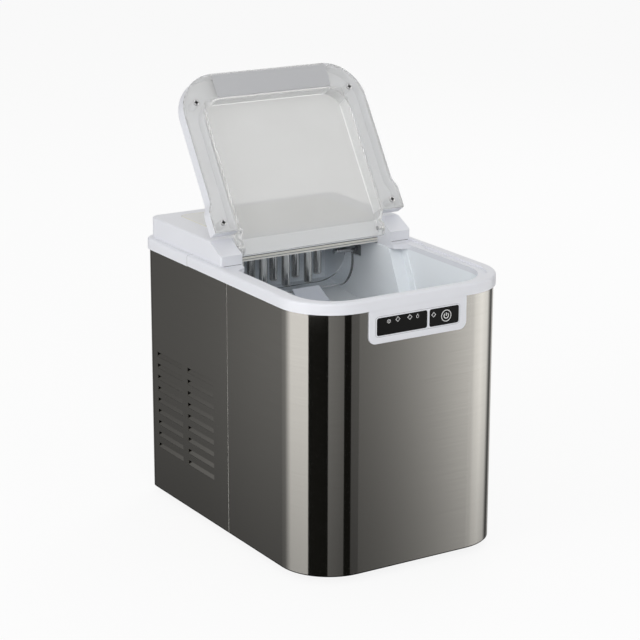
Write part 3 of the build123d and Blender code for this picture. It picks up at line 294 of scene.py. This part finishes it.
# the lid's own plane: across, away from the hinge, and along its normal
hinge = joints["lid_hinge"]
hingeAt = Vector(hinge["pos_m"])
lidLean = radians(hinge["range_deg"][1])
alongLid = Vector((0, -cos(lidLean), sin(lidLean)))
outOfLid = Vector((0, -sin(lidLean), -cos(lidLean)))
fromHinge = [vertex.co - hingeAt for vertex in nodes["lid_window"].data.vertices]
lidFace = max(offset.dot(outOfLid) for offset in fromHinge)
lidReach = max(offset.dot(alongLid) for offset in fromHinge)


def onLid(across, along, raised):
    return hingeAt + Vector((across, 0, 0)) + alongLid * along + outOfLid * (lidFace + raised)


# clear mouldings of the lid, the rear cover and the tray

def clearMoulding(name, look, pane=None):
    # a pane is 1 in the clear field and 0 round it
    material, tree, surface = emptyFinish(name)
    shader = tree.nodes.new("ShaderNodeBsdfPrincipled")
    smear = objectNoise(tree, look["smearScale"], detail=4.0)
    tone = tint(tree, smear, look["shade"], look["colour"])
    clear = look["clear"]
    if pane:
        inside = pane(tree)
        tone = tint(tree, inside, look["edge"], tone)
        clear = between(tree, inside, look["edgeClear"], look["clear"])
    tree.links.new(tone, shader.inputs["Base Color"])
    feed(tree, shader.inputs["Transmission Weight"], clear)
    tree.links.new(between(tree, smear, *look["roughness"]), shader.inputs["Roughness"])
    bumpInto(tree, shader, smear, look["ripple"], look["rippleDepth"])
    setShader(shader, IOR=look["ior"])
    # lamp light goes straight through
    path = addNode(tree, "ShaderNodeLightPath")
    passing = maths(tree, "MAXIMUM", path.outputs["Is Shadow Ray"], path.outputs["Is Diffuse Ray"])
    through = maths(tree, "MULTIPLY", passing, look["lets"])
    straight = addNode(tree, "ShaderNodeBsdfTransparent", {"Color": (*look["passes"], 1)})
    mix = addNode(tree, "ShaderNodeMixShader",
                  {0: through, 1: shader.outputs["BSDF"], 2: straight.outputs["BSDF"]})
    tree.links.new(mix.outputs["Shader"], surface)
    return material


windowLook = {
    "colour": (0.78, 0.78, 0.775), "shade": (0.73, 0.73, 0.72), "roughness": (0.05, 0.10),
    "smearScale": 26.0, "ripple": 0.012, "rippleDepth": 0.4 * mm, "ior": 1.30,
    "clear": 0.62, "lets": 0.95, "passes": (0.97, 0.97, 0.96),
    "edge": (0.92, 0.92, 0.91), "edgeClear": 0.75, "half": 85 * mm, "low": 9.5 * mm, "high": 159 * mm,
}


def windowPane(tree):
    apart = addNode(tree, "ShaderNodeVectorMath", {0: objectPlace(tree), 1: hingeAt}, operation="SUBTRACT")
    along = addNode(tree, "ShaderNodeVectorMath", {0: apart.outputs["Vector"], 1: alongLid},
                    operation="DOT_PRODUCT").outputs["Value"]
    middle = (windowLook["low"] + windowLook["high"]) / 2
    inWidth = inField(tree, placeAlong(tree, "X"), 0.0, windowLook["half"])
    inHeight = inField(tree, along, middle, windowLook["high"] - middle)
    return maths(tree, "MULTIPLY", inWidth, inHeight)


dress(clearMoulding("clearLid", windowLook, windowPane), "lid_window")

plateLook = {
    "colour": (0.85, 0.85, 0.845), "shade": (0.80, 0.80, 0.79), "roughness": (0.10, 0.18),
    "smearScale": 18.0, "ripple": 0.03, "rippleDepth": 0.4 * mm, "ior": 1.30,
    "clear": 0.12, "lets": 0.12, "passes": (0.95, 0.95, 0.94),
    "edge": (0.84, 0.81, 0.66), "edgeClear": 0.05, "edgeWidth": 1.2 * mm,
}


def platePane(tree):
    plateLow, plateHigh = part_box("rear_top_plate")
    reach = (plateHigh - plateLow) / 2
    middle = (plateHigh + plateLow) / 2
    inWidth = inField(tree, placeAlong(tree, "X"), middle.x, reach.x - plateLook["edgeWidth"])
    inDepth = inField(tree, placeAlong(tree, "Y"), middle.y, reach.y - plateLook["edgeWidth"])
    return maths(tree, "MULTIPLY", inWidth, inDepth)


dress(clearMoulding("clearPlate", plateLook, platePane), "rear_top_plate")

trayLook = {
    "colour": (0.93, 0.945, 0.955), "shade": (0.88, 0.90, 0.92), "roughness": (0.04, 0.10),
    "smearScale": 40.0, "ripple": 0.03, "rippleDepth": 0.4 * mm, "ior": 1.16,
    "clear": 0.96, "lets": 0.92, "passes": (0.95, 0.96, 0.97),
}
dress(clearMoulding("clearTray", trayLook), "water_tray")
print("finishes on", len(nodes), "solids")


# new pieces

def finishPiece(name, mesh, material, body):
    piece = bpy.data.objects.new(name, mesh)
    scene.collection.objects.link(piece)
    if material:
        mesh.materials.clear()
        mesh.materials.append(material)
    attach(piece, body)
    return piece


def roundedOutline(width, height, corner, steps=8):
    points = []
    for aside, up, start in ((1, 1, 0), (-1, 1, 90), (-1, -1, 180), (1, -1, 270)):
        for k in range(steps + 1):
            angle = radians(start + 90 * k / steps)
            points.append((aside * (width / 2 - corner) + corner * cos(angle),
                           up * (height / 2 - corner) + corner * sin(angle)))
    return points


def ringOutline(radius, start=0, sweep=360, steps=48):
    # a full ring ends one step short of where it starts
    count = steps if sweep == 360 else steps + 1
    angles = [radians(start + sweep * k / steps) for k in range(count)]
    return [(radius * cos(angle), radius * sin(angle)) for angle in angles]


def shifted(outline, x, z):
    return [(u + x, v + z) for u, v in outline]


def meshFrom(build, name):
    mesh = bpy.data.meshes.new(name)
    build.to_mesh(mesh)
    build.free()
    return mesh


def plateMesh(name, outline, thick, place):
    # flat plate from an outline, raised along its third axis, put in place by a function
    build = bmesh.new()
    low = [build.verts.new(place(u, v, 0)) for u, v in outline]
    high = [build.verts.new(place(u, v, thick)) for u, v in outline]
    build.faces.new(high)
    build.faces.new(list(reversed(low)))
    count = len(outline)
    for k in range(count):
        m = (k + 1) % count
        build.faces.new((low[k], low[m], high[m], high[k]))
    bmesh.ops.recalc_face_normals(build, faces=build.faces)
    return meshFrom(build, name)


def bandMesh(name, inner, outer, thick, place, closed=True):
    # flat band between two outlines of the same count
    build = bmesh.new()
    rings = [[build.verts.new(place(u, v, w)) for u, v in outline]
             for outline, w in ((inner, 0), (inner, thick), (outer, thick), (outer, 0))]
    count = len(inner)
    last = count if closed else count - 1
    for first, second in zip(rings, rings[1:] + rings[:1]):
        for k in range(last):
            m = (k + 1) % count
            build.faces.new((first[k], first[m], second[m], second[k]))
    if not closed:
        build.faces.new([ring[0] for ring in rings])
        build.faces.new([ring[-1] for ring in reversed(rings)])
    bmesh.ops.recalc_face_normals(build, faces=build.faces)
    return meshFrom(build, name)


def joinMeshes(name, meshes):
    build = bmesh.new()
    for mesh in meshes:
        build.from_mesh(mesh)
    return meshFrom(build, name)


# bare pale plate along the lid's free edge
lidPlate = {"middle": 2 * mm, "width": 140 * mm, "height": 25 * mm, "corner": 3 * mm, "thick": 0.2 * mm,
            "edgeGap": 1.6 * mm}
foilLook = {"colour": (0.52, 0.525, 0.54), "shade": (0.48, 0.485, 0.50), "roughness": (0.3, 0.4),
            "grain": 0.03}
plateAlong = lidReach - lidPlate["edgeGap"] - lidPlate["height"] / 2
plateOutline = roundedOutline(lidPlate["width"], lidPlate["height"], lidPlate["corner"])
plate = plateMesh("barePlate", plateOutline, lidPlate["thick"],
                  lambda u, v, w: onLid(lidPlate["middle"] + u, plateAlong + v, w))
finishPiece("barePlate", plate, moulded("paleFoil", foilLook), "lid")


# printed marks on the control panel
inkLook = {"colour": (0.80, 0.80, 0.80), "shade": (0.74, 0.74, 0.74), "roughness": (0.4, 0.5), "grain": 0.02}
inkThick = 0.06 * mm
ink = moulded("whiteInk", inkLook)


def onFace(y):
    # outlines in x and z, raised towards the front from y
    return lambda u, v, w: Vector((u, y - w, v))


def inkRing(name, radius, width, middle, place, start=0, sweep=360):
    inner, outer = (shifted(ringOutline(reach, start, sweep), *middle) for reach in (radius - width, radius))
    return bandMesh(name, inner, outer, inkThick, place, sweep == 360)


powerMark = {"ring": 6.05 * mm, "ringWidth": 0.75 * mm, "arc": 3.1 * mm, "arcWidth": 0.85 * mm, "gap": 80,
             "bar": 3.6 * mm, "barLift": 1.4 * mm, "barRound": 0.45}
buttonLow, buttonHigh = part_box("power_button")
buttonX = (buttonLow.x + buttonHigh.x) / 2
buttonZ = (buttonLow.z + buttonHigh.z) / 2
onButton = onFace(buttonLow.y)
barWidth = powerMark["arcWidth"]
barOutline = roundedOutline(barWidth, powerMark["bar"], barWidth * powerMark["barRound"], 3)
markMeshes = [
    inkRing("ring", powerMark["ring"], powerMark["ringWidth"], (buttonX, buttonZ), onButton),
    inkRing("arc", powerMark["arc"], powerMark["arcWidth"], (buttonX, buttonZ), onButton,
            90 + powerMark["gap"] / 2, 360 - powerMark["gap"]),
    plateMesh("bar", shifted(barOutline, buttonX, buttonZ + powerMark["barLift"]), inkThick, onButton),
]
finishPiece("powerMark", joinMeshes("powerMark", markMeshes), ink, "power_button")

# shadow line at the foot of the bead round both panels
bezelLine = {"bead": 1.1 * mm, "width": 0.45 * mm, "corner": 2.5 * mm, "below": 0.4 * mm, "thick": 0.05 * mm}
lineLook = {"colour": (0.33, 0.335, 0.35), "shade": (0.29, 0.295, 0.31), "roughness": (0.4, 0.5),
            "grain": 0.02}
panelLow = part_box("indicator_panel")[0]
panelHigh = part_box("button_panel")[1]


def beadOutline(grow):
    reach = bezelLine["bead"] + grow
    outline = roundedOutline(panelHigh.x - panelLow.x + 2 * reach, panelHigh.z - panelLow.z + 2 * reach,
                             bezelLine["corner"] + reach)
    return shifted(outline, (panelLow.x + panelHigh.x) / 2, (panelLow.z + panelHigh.z) / 2)


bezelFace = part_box("control_bezel")[0].y + bezelLine["below"]
beadLine = bandMesh("beadLine", beadOutline(0), beadOutline(bezelLine["width"]), bezelLine["thick"],
                    onFace(bezelFace))
finishPiece("beadLine", beadLine, moulded("greyLine", lineLook), "housing")

# the crossbar below the lid: pale edge, with painted shadow along the joint above it and painted shade in its
# groove;
# heights are from the rim's top, depths from the cover's front, ends in from the cover's sides
crossbar = {"end": 26 * mm, "face": 24 * mm, "groove": 24.9 * mm, "thick": 0.05 * mm,
            "edges": ((-4.9 * mm, -3.8 * mm), (-2.8 * mm, -0.4 * mm)), "joint": (-0.4 * mm, 0.35 * mm),
            "grooveFoot": (-3.65 * mm, -2.95 * mm)}
# painted shade where the cover's arms stand on the rim
armFoot = {"heights": (-0.65 * mm, -0.05 * mm), "proud": 0.2 * mm, "outerEnd": 3 * mm, "innerEnd": 24 * mm}
edgeLook = {"colour": (0.70, 0.685, 0.63), "shade": (0.66, 0.645, 0.59), "roughness": (0.3, 0.4),
            "grain": 0.03}
shadowLook = {"colour": (0.035, 0.034, 0.032), "shade": (0.028, 0.027, 0.026), "roughness": (0.6, 0.7),
              "grain": 0.02}
footLook = {"colour": (0.20, 0.20, 0.21), "shade": (0.16, 0.16, 0.17), "roughness": (0.6, 0.7), "grain": 0.02}
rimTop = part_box("front_rim")[1].z
coverLow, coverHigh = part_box("rear_cover")


def coverStrip(heights, depth, left, right):
    low, high = (rimTop + height for height in heights)
    outline = [(left, low), (right, low), (right, high), (left, high)]
    return plateMesh("strip", outline, crossbar["thick"], onFace(coverLow.y + depth))


def crossbarStrip(heights, depth):
    return coverStrip(heights, depth, coverLow.x + crossbar["end"], coverHigh.x - crossbar["end"])


def armStrip(left, right):
    return coverStrip(armFoot["heights"], -armFoot["proud"], left, right)


edgeStrips = [crossbarStrip(heights, crossbar["face"]) for heights in crossbar["edges"]]
# painted shade along the joint above the crossbar and in its groove
shadeStrips = [crossbarStrip(crossbar["joint"], crossbar["face"]),
              crossbarStrip(crossbar["grooveFoot"], crossbar["groove"])]
# thin dark strips of painted shade at the arms' feet
armStrips = [armStrip(coverLow.x + armFoot["outerEnd"], coverLow.x + armFoot["innerEnd"]),
             armStrip(coverHigh.x - armFoot["innerEnd"], coverHigh.x - armFoot["outerEnd"])]
finishPiece("crossbarEdge", joinMeshes("crossbarEdge", edgeStrips), moulded("ivoryEdge", edgeLook),
            "housing")
finishPiece("crossbarShadeLines", joinMeshes("crossbarShadeLines", shadeStrips), moulded("jointShadow", shadowLook),
            "housing")
finishPiece("armFootShade", joinMeshes("armFootShade", armStrips), moulded("footShadow", footLook),
            "housing")

# plain signs beside the lamps, a cube and a drop, placed from the indicator panel's middle
signs = {"line": 0.42 * mm, "cube": (-15.55 * mm, 4.25 * mm), "cubeReach": 2.2 * mm,
         "drop": (18.25 * mm, 4.15 * mm), "dropReach": 1.5 * mm, "dropTip": 3.0 * mm, "dropShoulder": 150}
signLow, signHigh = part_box("indicator_panel")
onPanel = onFace(signLow.y)


def fromPanelMiddle(sign):
    return (signLow.x + signHigh.x) / 2 + sign[0], (signLow.z + signHigh.z) / 2 + sign[1]


def strokeMesh(name, start, end, width):
    run = Vector(end) - Vector(start)
    aside = Vector((-run.y, run.x)).normalized() * (width / 2)
    corners = [Vector(start) + aside, Vector(start) - aside, Vector(end) - aside, Vector(end) + aside]
    return plateMesh(name, [tuple(corner) for corner in corners], inkThick, onPanel)


def dropOutline(inset):
    # round about its foot at 270 degrees, with straight shoulders up to the tip
    shoulder = signs["dropShoulder"]
    bowl = ringOutline(signs["dropReach"] - inset, shoulder, 2 * (270 - shoulder), 24)
    return bowl + [(0, signs["dropTip"] - 2 * inset)]


cubeX, cubeZ = fromPanelMiddle(signs["cube"])
hexagon = ringOutline(signs["cubeReach"], 30, 360, 6)
shrink = 1 - signs["line"] / signs["cubeReach"]
innerHexagon = [(u * shrink, v * shrink) for u, v in hexagon]
signMeshes = [bandMesh("cube", shifted(innerHexagon, cubeX, cubeZ), shifted(hexagon, cubeX, cubeZ),
                       inkThick, onPanel)]
for u, v in innerHexagon[::2]:
    signMeshes.append(strokeMesh("edge", (cubeX, cubeZ), (cubeX + u, cubeZ + v), signs["line"]))
dropSpot = fromPanelMiddle(signs["drop"])
signMeshes.append(bandMesh("drop", shifted(dropOutline(signs["line"]), *dropSpot),
                           shifted(dropOutline(0), *dropSpot), inkThick, onPanel))
finishPiece("panelSigns", joinMeshes("panelSigns", signMeshes), ink, "housing")
print("lid plate, panel marks and trim lines made")


# node trees for what repeats

def newTree(name, sizes):
    tree = bpy.data.node_groups.new(name, "GeometryNodeTree")
    inputs = [("Geometry", "Geometry"), *((size, "Float") for size in sizes),
              ("Turn", "Vector"), ("Material", "Material")]
    for label, kind in inputs:
        tree.interface.new_socket(label, in_out="INPUT", socket_type="NodeSocket" + kind)
    tree.interface.new_socket("Geometry", in_out="OUTPUT", socket_type="NodeSocketGeometry")
    return tree, tree.nodes.new("NodeGroupInput").outputs


def plantOnPoints(tree, given, shape):
    # one turned copy of the shape on each point
    turn = addNode(tree, "FunctionNodeEulerToRotation", {"Euler": given["Turn"]})
    copies = addNode(tree, "GeometryNodeInstanceOnPoints",
                     {"Points": given["Geometry"], "Instance": shape, "Rotation": turn.outputs["Rotation"]})
    realize = addNode(tree, "GeometryNodeRealizeInstances", {"Geometry": copies.outputs["Instances"]})
    paint = addNode(tree, "GeometryNodeSetMaterial",
                    {"Geometry": realize.outputs["Geometry"], "Material": given["Material"]})
    addNode(tree, "NodeGroupOutput", {"Geometry": paint.outputs["Geometry"]})


def growPiece(name, points, tree, values, body):
    # points carry the tree; its result becomes a plain mesh
    seed = bpy.data.meshes.new(name + "Points")
    seed.from_pydata([tuple(point) for point in points], [], [])
    carrier = bpy.data.objects.new(name + "Points", seed)
    scene.collection.objects.link(carrier)
    modifier = carrier.modifiers.new("grow", "NODES")
    modifier.node_group = tree
    for item in tree.interface.items_tree:
        if item.in_out == "INPUT" and item.name in values:
            modifier[item.identifier] = values[item.name]
    bpy.context.view_layer.update()
    evaluated = carrier.evaluated_get(bpy.context.evaluated_depsgraph_get())
    mesh = bpy.data.meshes.new_from_object(evaluated)
    carrier.modifiers.remove(modifier)
    bpy.data.objects.remove(carrier)
    return finishPiece(name, mesh, None, body)


def solidGroups(name, mergeWithin=0.01 * mm):
    # the points of each separate solid in a node
    build = bmesh.new()
    build.from_mesh(nodes[name].data)
    bmesh.ops.remove_doubles(build, verts=build.verts, dist=mergeWithin)
    left = set(build.verts)
    groups = []
    while left:
        stack = [left.pop()]
        group = list(stack)
        while stack:
            for edge in stack.pop().link_edges:
                for other in edge.verts:
                    if other in left:
                        left.remove(other)
                        stack.append(other)
                        group.append(other)
        groups.append([vertex.co.copy() for vertex in group])
    build.free()
    return groups


def middleOf(points):
    return sum(points, Vector()) / len(points)


def headMiddles(name, outward, skin=0.02 * mm):
    # just above the middle of each screw's outer face
    spots = []
    for group in solidGroups(name):
        top = max(point.dot(outward) for point in group)
        face = [point for point in group if point.dot(outward) > top - skin]
        spots.append(middleOf(face) + outward * skin)
    return spots


def crossTree():
    tree, given = newTree("screwCross", ["Length", "Width", "Depth"])
    both = tree.nodes.new("GeometryNodeJoinGeometry")
    for first, second in (("Length", "Width"), ("Width", "Length")):
        size = addNode(tree, "ShaderNodeCombineXYZ",
                       {"X": given[first], "Y": given[second], "Z": given["Depth"]})
        bar = addNode(tree, "GeometryNodeMeshCube", {"Size": size.outputs["Vector"]})
        tree.links.new(bar.outputs["Mesh"], both.inputs["Geometry"])
    plantOnPoints(tree, given, both.outputs["Geometry"])
    return tree


crossSize = {"Length": 4.6 * mm, "Width": 1.7 * mm, "Depth": 0.12 * mm}
# the dark cross on each screw head is painted shade standing in for its cross recess
recessShadeLook = {"colour": (0.012, 0.012, 0.012), "shade": (0.008, 0.008, 0.008), "roughness": (0.6, 0.75)}
recessShade = moulded("paintedRecessShade", recessShadeLook)
screwCross = crossTree()
rearward = Vector((0, 1, 0))
lidTurn = outOfLid.to_track_quat("Z", "X").to_euler()
growPiece("lidScrewRecessShade", headMiddles("lid_screws", outOfLid), screwCross,
          {**crossSize, "Turn": tuple(lidTurn), "Material": recessShade}, "lid")
growPiece("caseScrewRecessShade", headMiddles("case_screws", rearward), screwCross,
          {**crossSize, "Turn": (pi / 2, 0, 0), "Material": recessShade}, "housing")


def diamondTree():
    tree, given = newTree("diamondFrame", ["Size", "Line"])
    outline = addNode(tree, "GeometryNodeCurvePrimitiveCircle", {"Resolution": 4, "Radius": given["Size"]})
    profile = addNode(tree, "GeometryNodeCurvePrimitiveCircle", {"Resolution": 6, "Radius": given["Line"]})
    diamond = addNode(tree, "GeometryNodeCurveToMesh",
                      {"Curve": outline.outputs["Curve"], "Profile Curve": profile.outputs["Curve"]})
    plantOnPoints(tree, given, diamond.outputs["Mesh"])
    return tree


diamondSize = {"Size": 2.45 * mm, "Line": 0.36 * mm, "Turn": (pi / 2, 0, 0)}
lensMiddles = [middleOf(group) for group in solidGroups("indicator_lenses")]
lensSpots = [Vector((middle.x, signLow.y, middle.z)) for middle in lensMiddles]
growPiece("lensFrames", lensSpots, diamondTree(), {**diamondSize, "Material": ink}, "housing")
print("screw recesses and lens frames grown")


# camera at the photograph's angle
cameraSpot = {"azimuth": -31.8904, "elevation": 16.1125, "distance": 2.27315, "roll": 0.1576,
              "target": (-0.0022823, 0.0030294, 0.2198654), "lens": 121.235, "sensor": 36.0}
azimuth = radians(cameraSpot["azimuth"])
elevation = radians(cameraSpot["elevation"])
away = Vector((cos(elevation) * sin(azimuth), -cos(elevation) * cos(azimuth), sin(elevation)))
cameraData = bpy.data.cameras.new("camera")
cameraData.lens = cameraSpot["lens"]
cameraData.sensor_width = cameraSpot["sensor"]
camera = bpy.data.objects.new("camera", cameraData)
scene.collection.objects.link(camera)
camera.location = Vector(cameraSpot["target"]) + away * cameraSpot["distance"]
aim = (-away).to_track_quat("-Z", "Y") @ Quaternion((0, 0, 1), radians(cameraSpot["roll"]))
camera.rotation_euler = aim.to_euler()
scene.camera = camera


# studio: floor, soft lamps, and panels that only the reflections see

def studioMesh(name, points, faces, material):
    mesh = bpy.data.meshes.new(name)
    mesh.from_pydata(points, [], faces)
    mesh.materials.append(material)
    thing = bpy.data.objects.new(name, mesh)
    scene.collection.objects.link(thing)
    return thing


def reflectionOnly(thing):
    for ray in ("camera", "diffuse", "transmission", "volume_scatter", "shadow"):
        setattr(thing, "visible_" + ray, False)


def seenDirectly(tree):
    # 1 for the camera, and for what metal and clear pieces show of the set
    path = addNode(tree, "ShaderNodeLightPath")
    mirrored = maths(tree, "MAXIMUM", path.outputs["Is Camera Ray"], path.outputs["Is Glossy Ray"])
    return maths(tree, "MAXIMUM", mirrored, path.outputs["Is Transmission Ray"])


floorLook = {"reach": 28.0, "drop": 0.4 * mm, "colour": (0.90, 0.90, 0.90, 1), "glow": 0.88}
floorFinish, floorTree, floorSurface = emptyFinish("paleFloor")
floorDiffuse = addNode(floorTree, "ShaderNodeBsdfDiffuse", {"Color": floorLook["colour"]})
floorGlow = addNode(floorTree, "ShaderNodeEmission", {"Color": (1, 1, 1, 1), "Strength": 1.0})
glowShare = maths(floorTree, "MULTIPLY", seenDirectly(floorTree), floorLook["glow"])
floorMix = addNode(floorTree, "ShaderNodeMixShader",
                   {0: glowShare, 1: floorDiffuse.outputs["BSDF"], 2: floorGlow.outputs["Emission"]})
floorTree.links.new(floorMix.outputs["Shader"], floorSurface)
reach = floorLook["reach"]
floorCorners = [(x, y, -floorLook["drop"])
                for x, y in ((-reach, -reach), (reach, -reach), (reach, reach), (-reach, reach))]
floor = studioMesh("floor", floorCorners, [(0, 1, 2, 3)], floorFinish)
floor.visible_glossy = False

worldLook = {"ambient": 0.60, "white": 1.0}
world = bpy.data.worlds.new("studio")
scene.world = world
world.use_nodes = True
worldTree = world.node_tree
worldTree.nodes.clear()
ambient, backdrop = (addNode(worldTree, "ShaderNodeBackground", {"Color": (1, 1, 1, 1), "Strength": strength})
                     for strength in (worldLook["ambient"], worldLook["white"]))
worldMix = addNode(worldTree, "ShaderNodeMixShader", {
    0: seenDirectly(worldTree), 1: ambient.outputs["Background"], 2: backdrop.outputs["Background"]})
addNode(worldTree, "ShaderNodeOutputWorld", {"Surface": worldMix.outputs["Shader"]})

# bright and dark panels round the set, by compass angle: 0 in front, + to the right
panelStops = [
    (-180, 0.30), (-176, 0.28), (-172, 0.10), (-160, 0.10), (-157, 0.15), (-153, 0.15), (-150.5, 0.19),
    (-149.5, 0.30), (-136, 0.42), (-119, 1.55), (-77, 1.60), (-55, 1.0), (-38, 0.5), (-33, 0.37),
    (-1.5, 0.27), (16, 0.19), (33, 0.21), (34.4, 0.53), (35.2, 0.77), (35.9, 1.45), (36.4, 1.80),
    (38.5, 1.55), (41, 1.20), (51, 1.60), (69, 1.85), (91, 1.42), (104, 0.20), (116, 0.12), (120, 0.75),
    (150, 0.7), (180, 0.30),
]
panelRing = {"radius": 30.0, "low": -60.0, "high": 26.0, "sides": 96, "warmth": (1, 0.985, 0.955),
             "fadeLow": -12.6, "fadeHigh": -9.0, "dimmest": 0.40}
ringFinish, ringTree, ringSurface = emptyFinish("studioPanels")
ahead = maths(ringTree, "MULTIPLY", placeAlong(ringTree, "Y"), -1.0)
compass = maths(ringTree, "ARCTAN2", placeAlong(ringTree, "X"), ahead)
ramp = addNode(ringTree, "ShaderNodeValToRGB", {"Fac": between(ringTree, compass, 0.0, 1.0, -pi, pi)})
brightest = max(level for angle, level in panelStops)
stops = ramp.color_ramp.elements
while len(stops) < len(panelStops):
    stops.new(0.5)
for stop, (angle, level) in zip(stops, panelStops):
    stop.position = (angle + 180) / 360
    stop.color = (*(level / brightest * share for share in panelRing["warmth"]), 1)
fade = between(ringTree, placeAlong(ringTree, "Z"), brightest * panelRing["dimmest"], brightest,
               panelRing["fadeLow"], panelRing["fadeHigh"])
ringGlow = addNode(ringTree, "ShaderNodeEmission", {"Color": ramp.outputs["Color"], "Strength": fade})
ringTree.links.new(ringGlow.outputs["Emission"], ringSurface)
sides = panelRing["sides"]
ringPoints = [(x, y, level) for level in (panelRing["low"], panelRing["high"])
              for x, y in ringOutline(panelRing["radius"], steps=sides)]
ringFaces = [(k, (k + 1) % sides, sides + (k + 1) % sides, sides + k) for k in range(sides)]
reflectionOnly(studioMesh("panelRing", ringPoints, ringFaces, ringFinish))

# two black flags beside the front left corner
flags = {"low": -0.26, "high": 0.262, "colour": (0.012, 0.012, 0.010, 1),
         "leftFlag": ((-0.2077, -0.1733), (-0.1517, -0.2461)),
         "frontFlag": ((-0.083, -0.2697), (-0.0496, -0.2681))}
flagFinish, flagTree, flagSurface = emptyFinish("blackFlag")
flagGlow = addNode(flagTree, "ShaderNodeEmission", {"Color": flags["colour"], "Strength": 1.0})
flagTree.links.new(flagGlow.outputs["Emission"], flagSurface)
low, high = flags["low"], flags["high"]
for name in ("leftFlag", "frontFlag"):
    first, second = flags[name]
    flagCorners = [(*first, low), (*second, low), (*second, high), (*first, high)]
    reflectionOnly(studioMesh(name, flagCorners, [(0, 1, 2, 3)], flagFinish))

lampAim = Vector((0, 0, 0.25))
lamps = {
    "keyLamp": {"at": (-2.3, -0.2, 1.0), "size": 1.5, "power": 17.0},
    "rightLamp": {"at": (1.5, 1.2, 1.7), "size": 1.2, "power": 10.0},
    "binLamp": {"at": (-0.6, -1.3, 0.95), "size": 0.6, "power": 5.2},
}
for name, lamp in lamps.items():
    data = bpy.data.lights.new(name, "AREA")
    data.shape = "DISK"
    data.size = lamp["size"]
    data.energy = lamp["power"]
    light = bpy.data.objects.new(name, data)
    scene.collection.objects.link(light)
    light.location = lamp["at"]
    light.visible_glossy = False
    light.rotation_euler = (lampAim - light.location).to_track_quat("-Z", "Y").to_euler()
scene.view_settings.view_transform = "Standard"
print("camera and studio set")
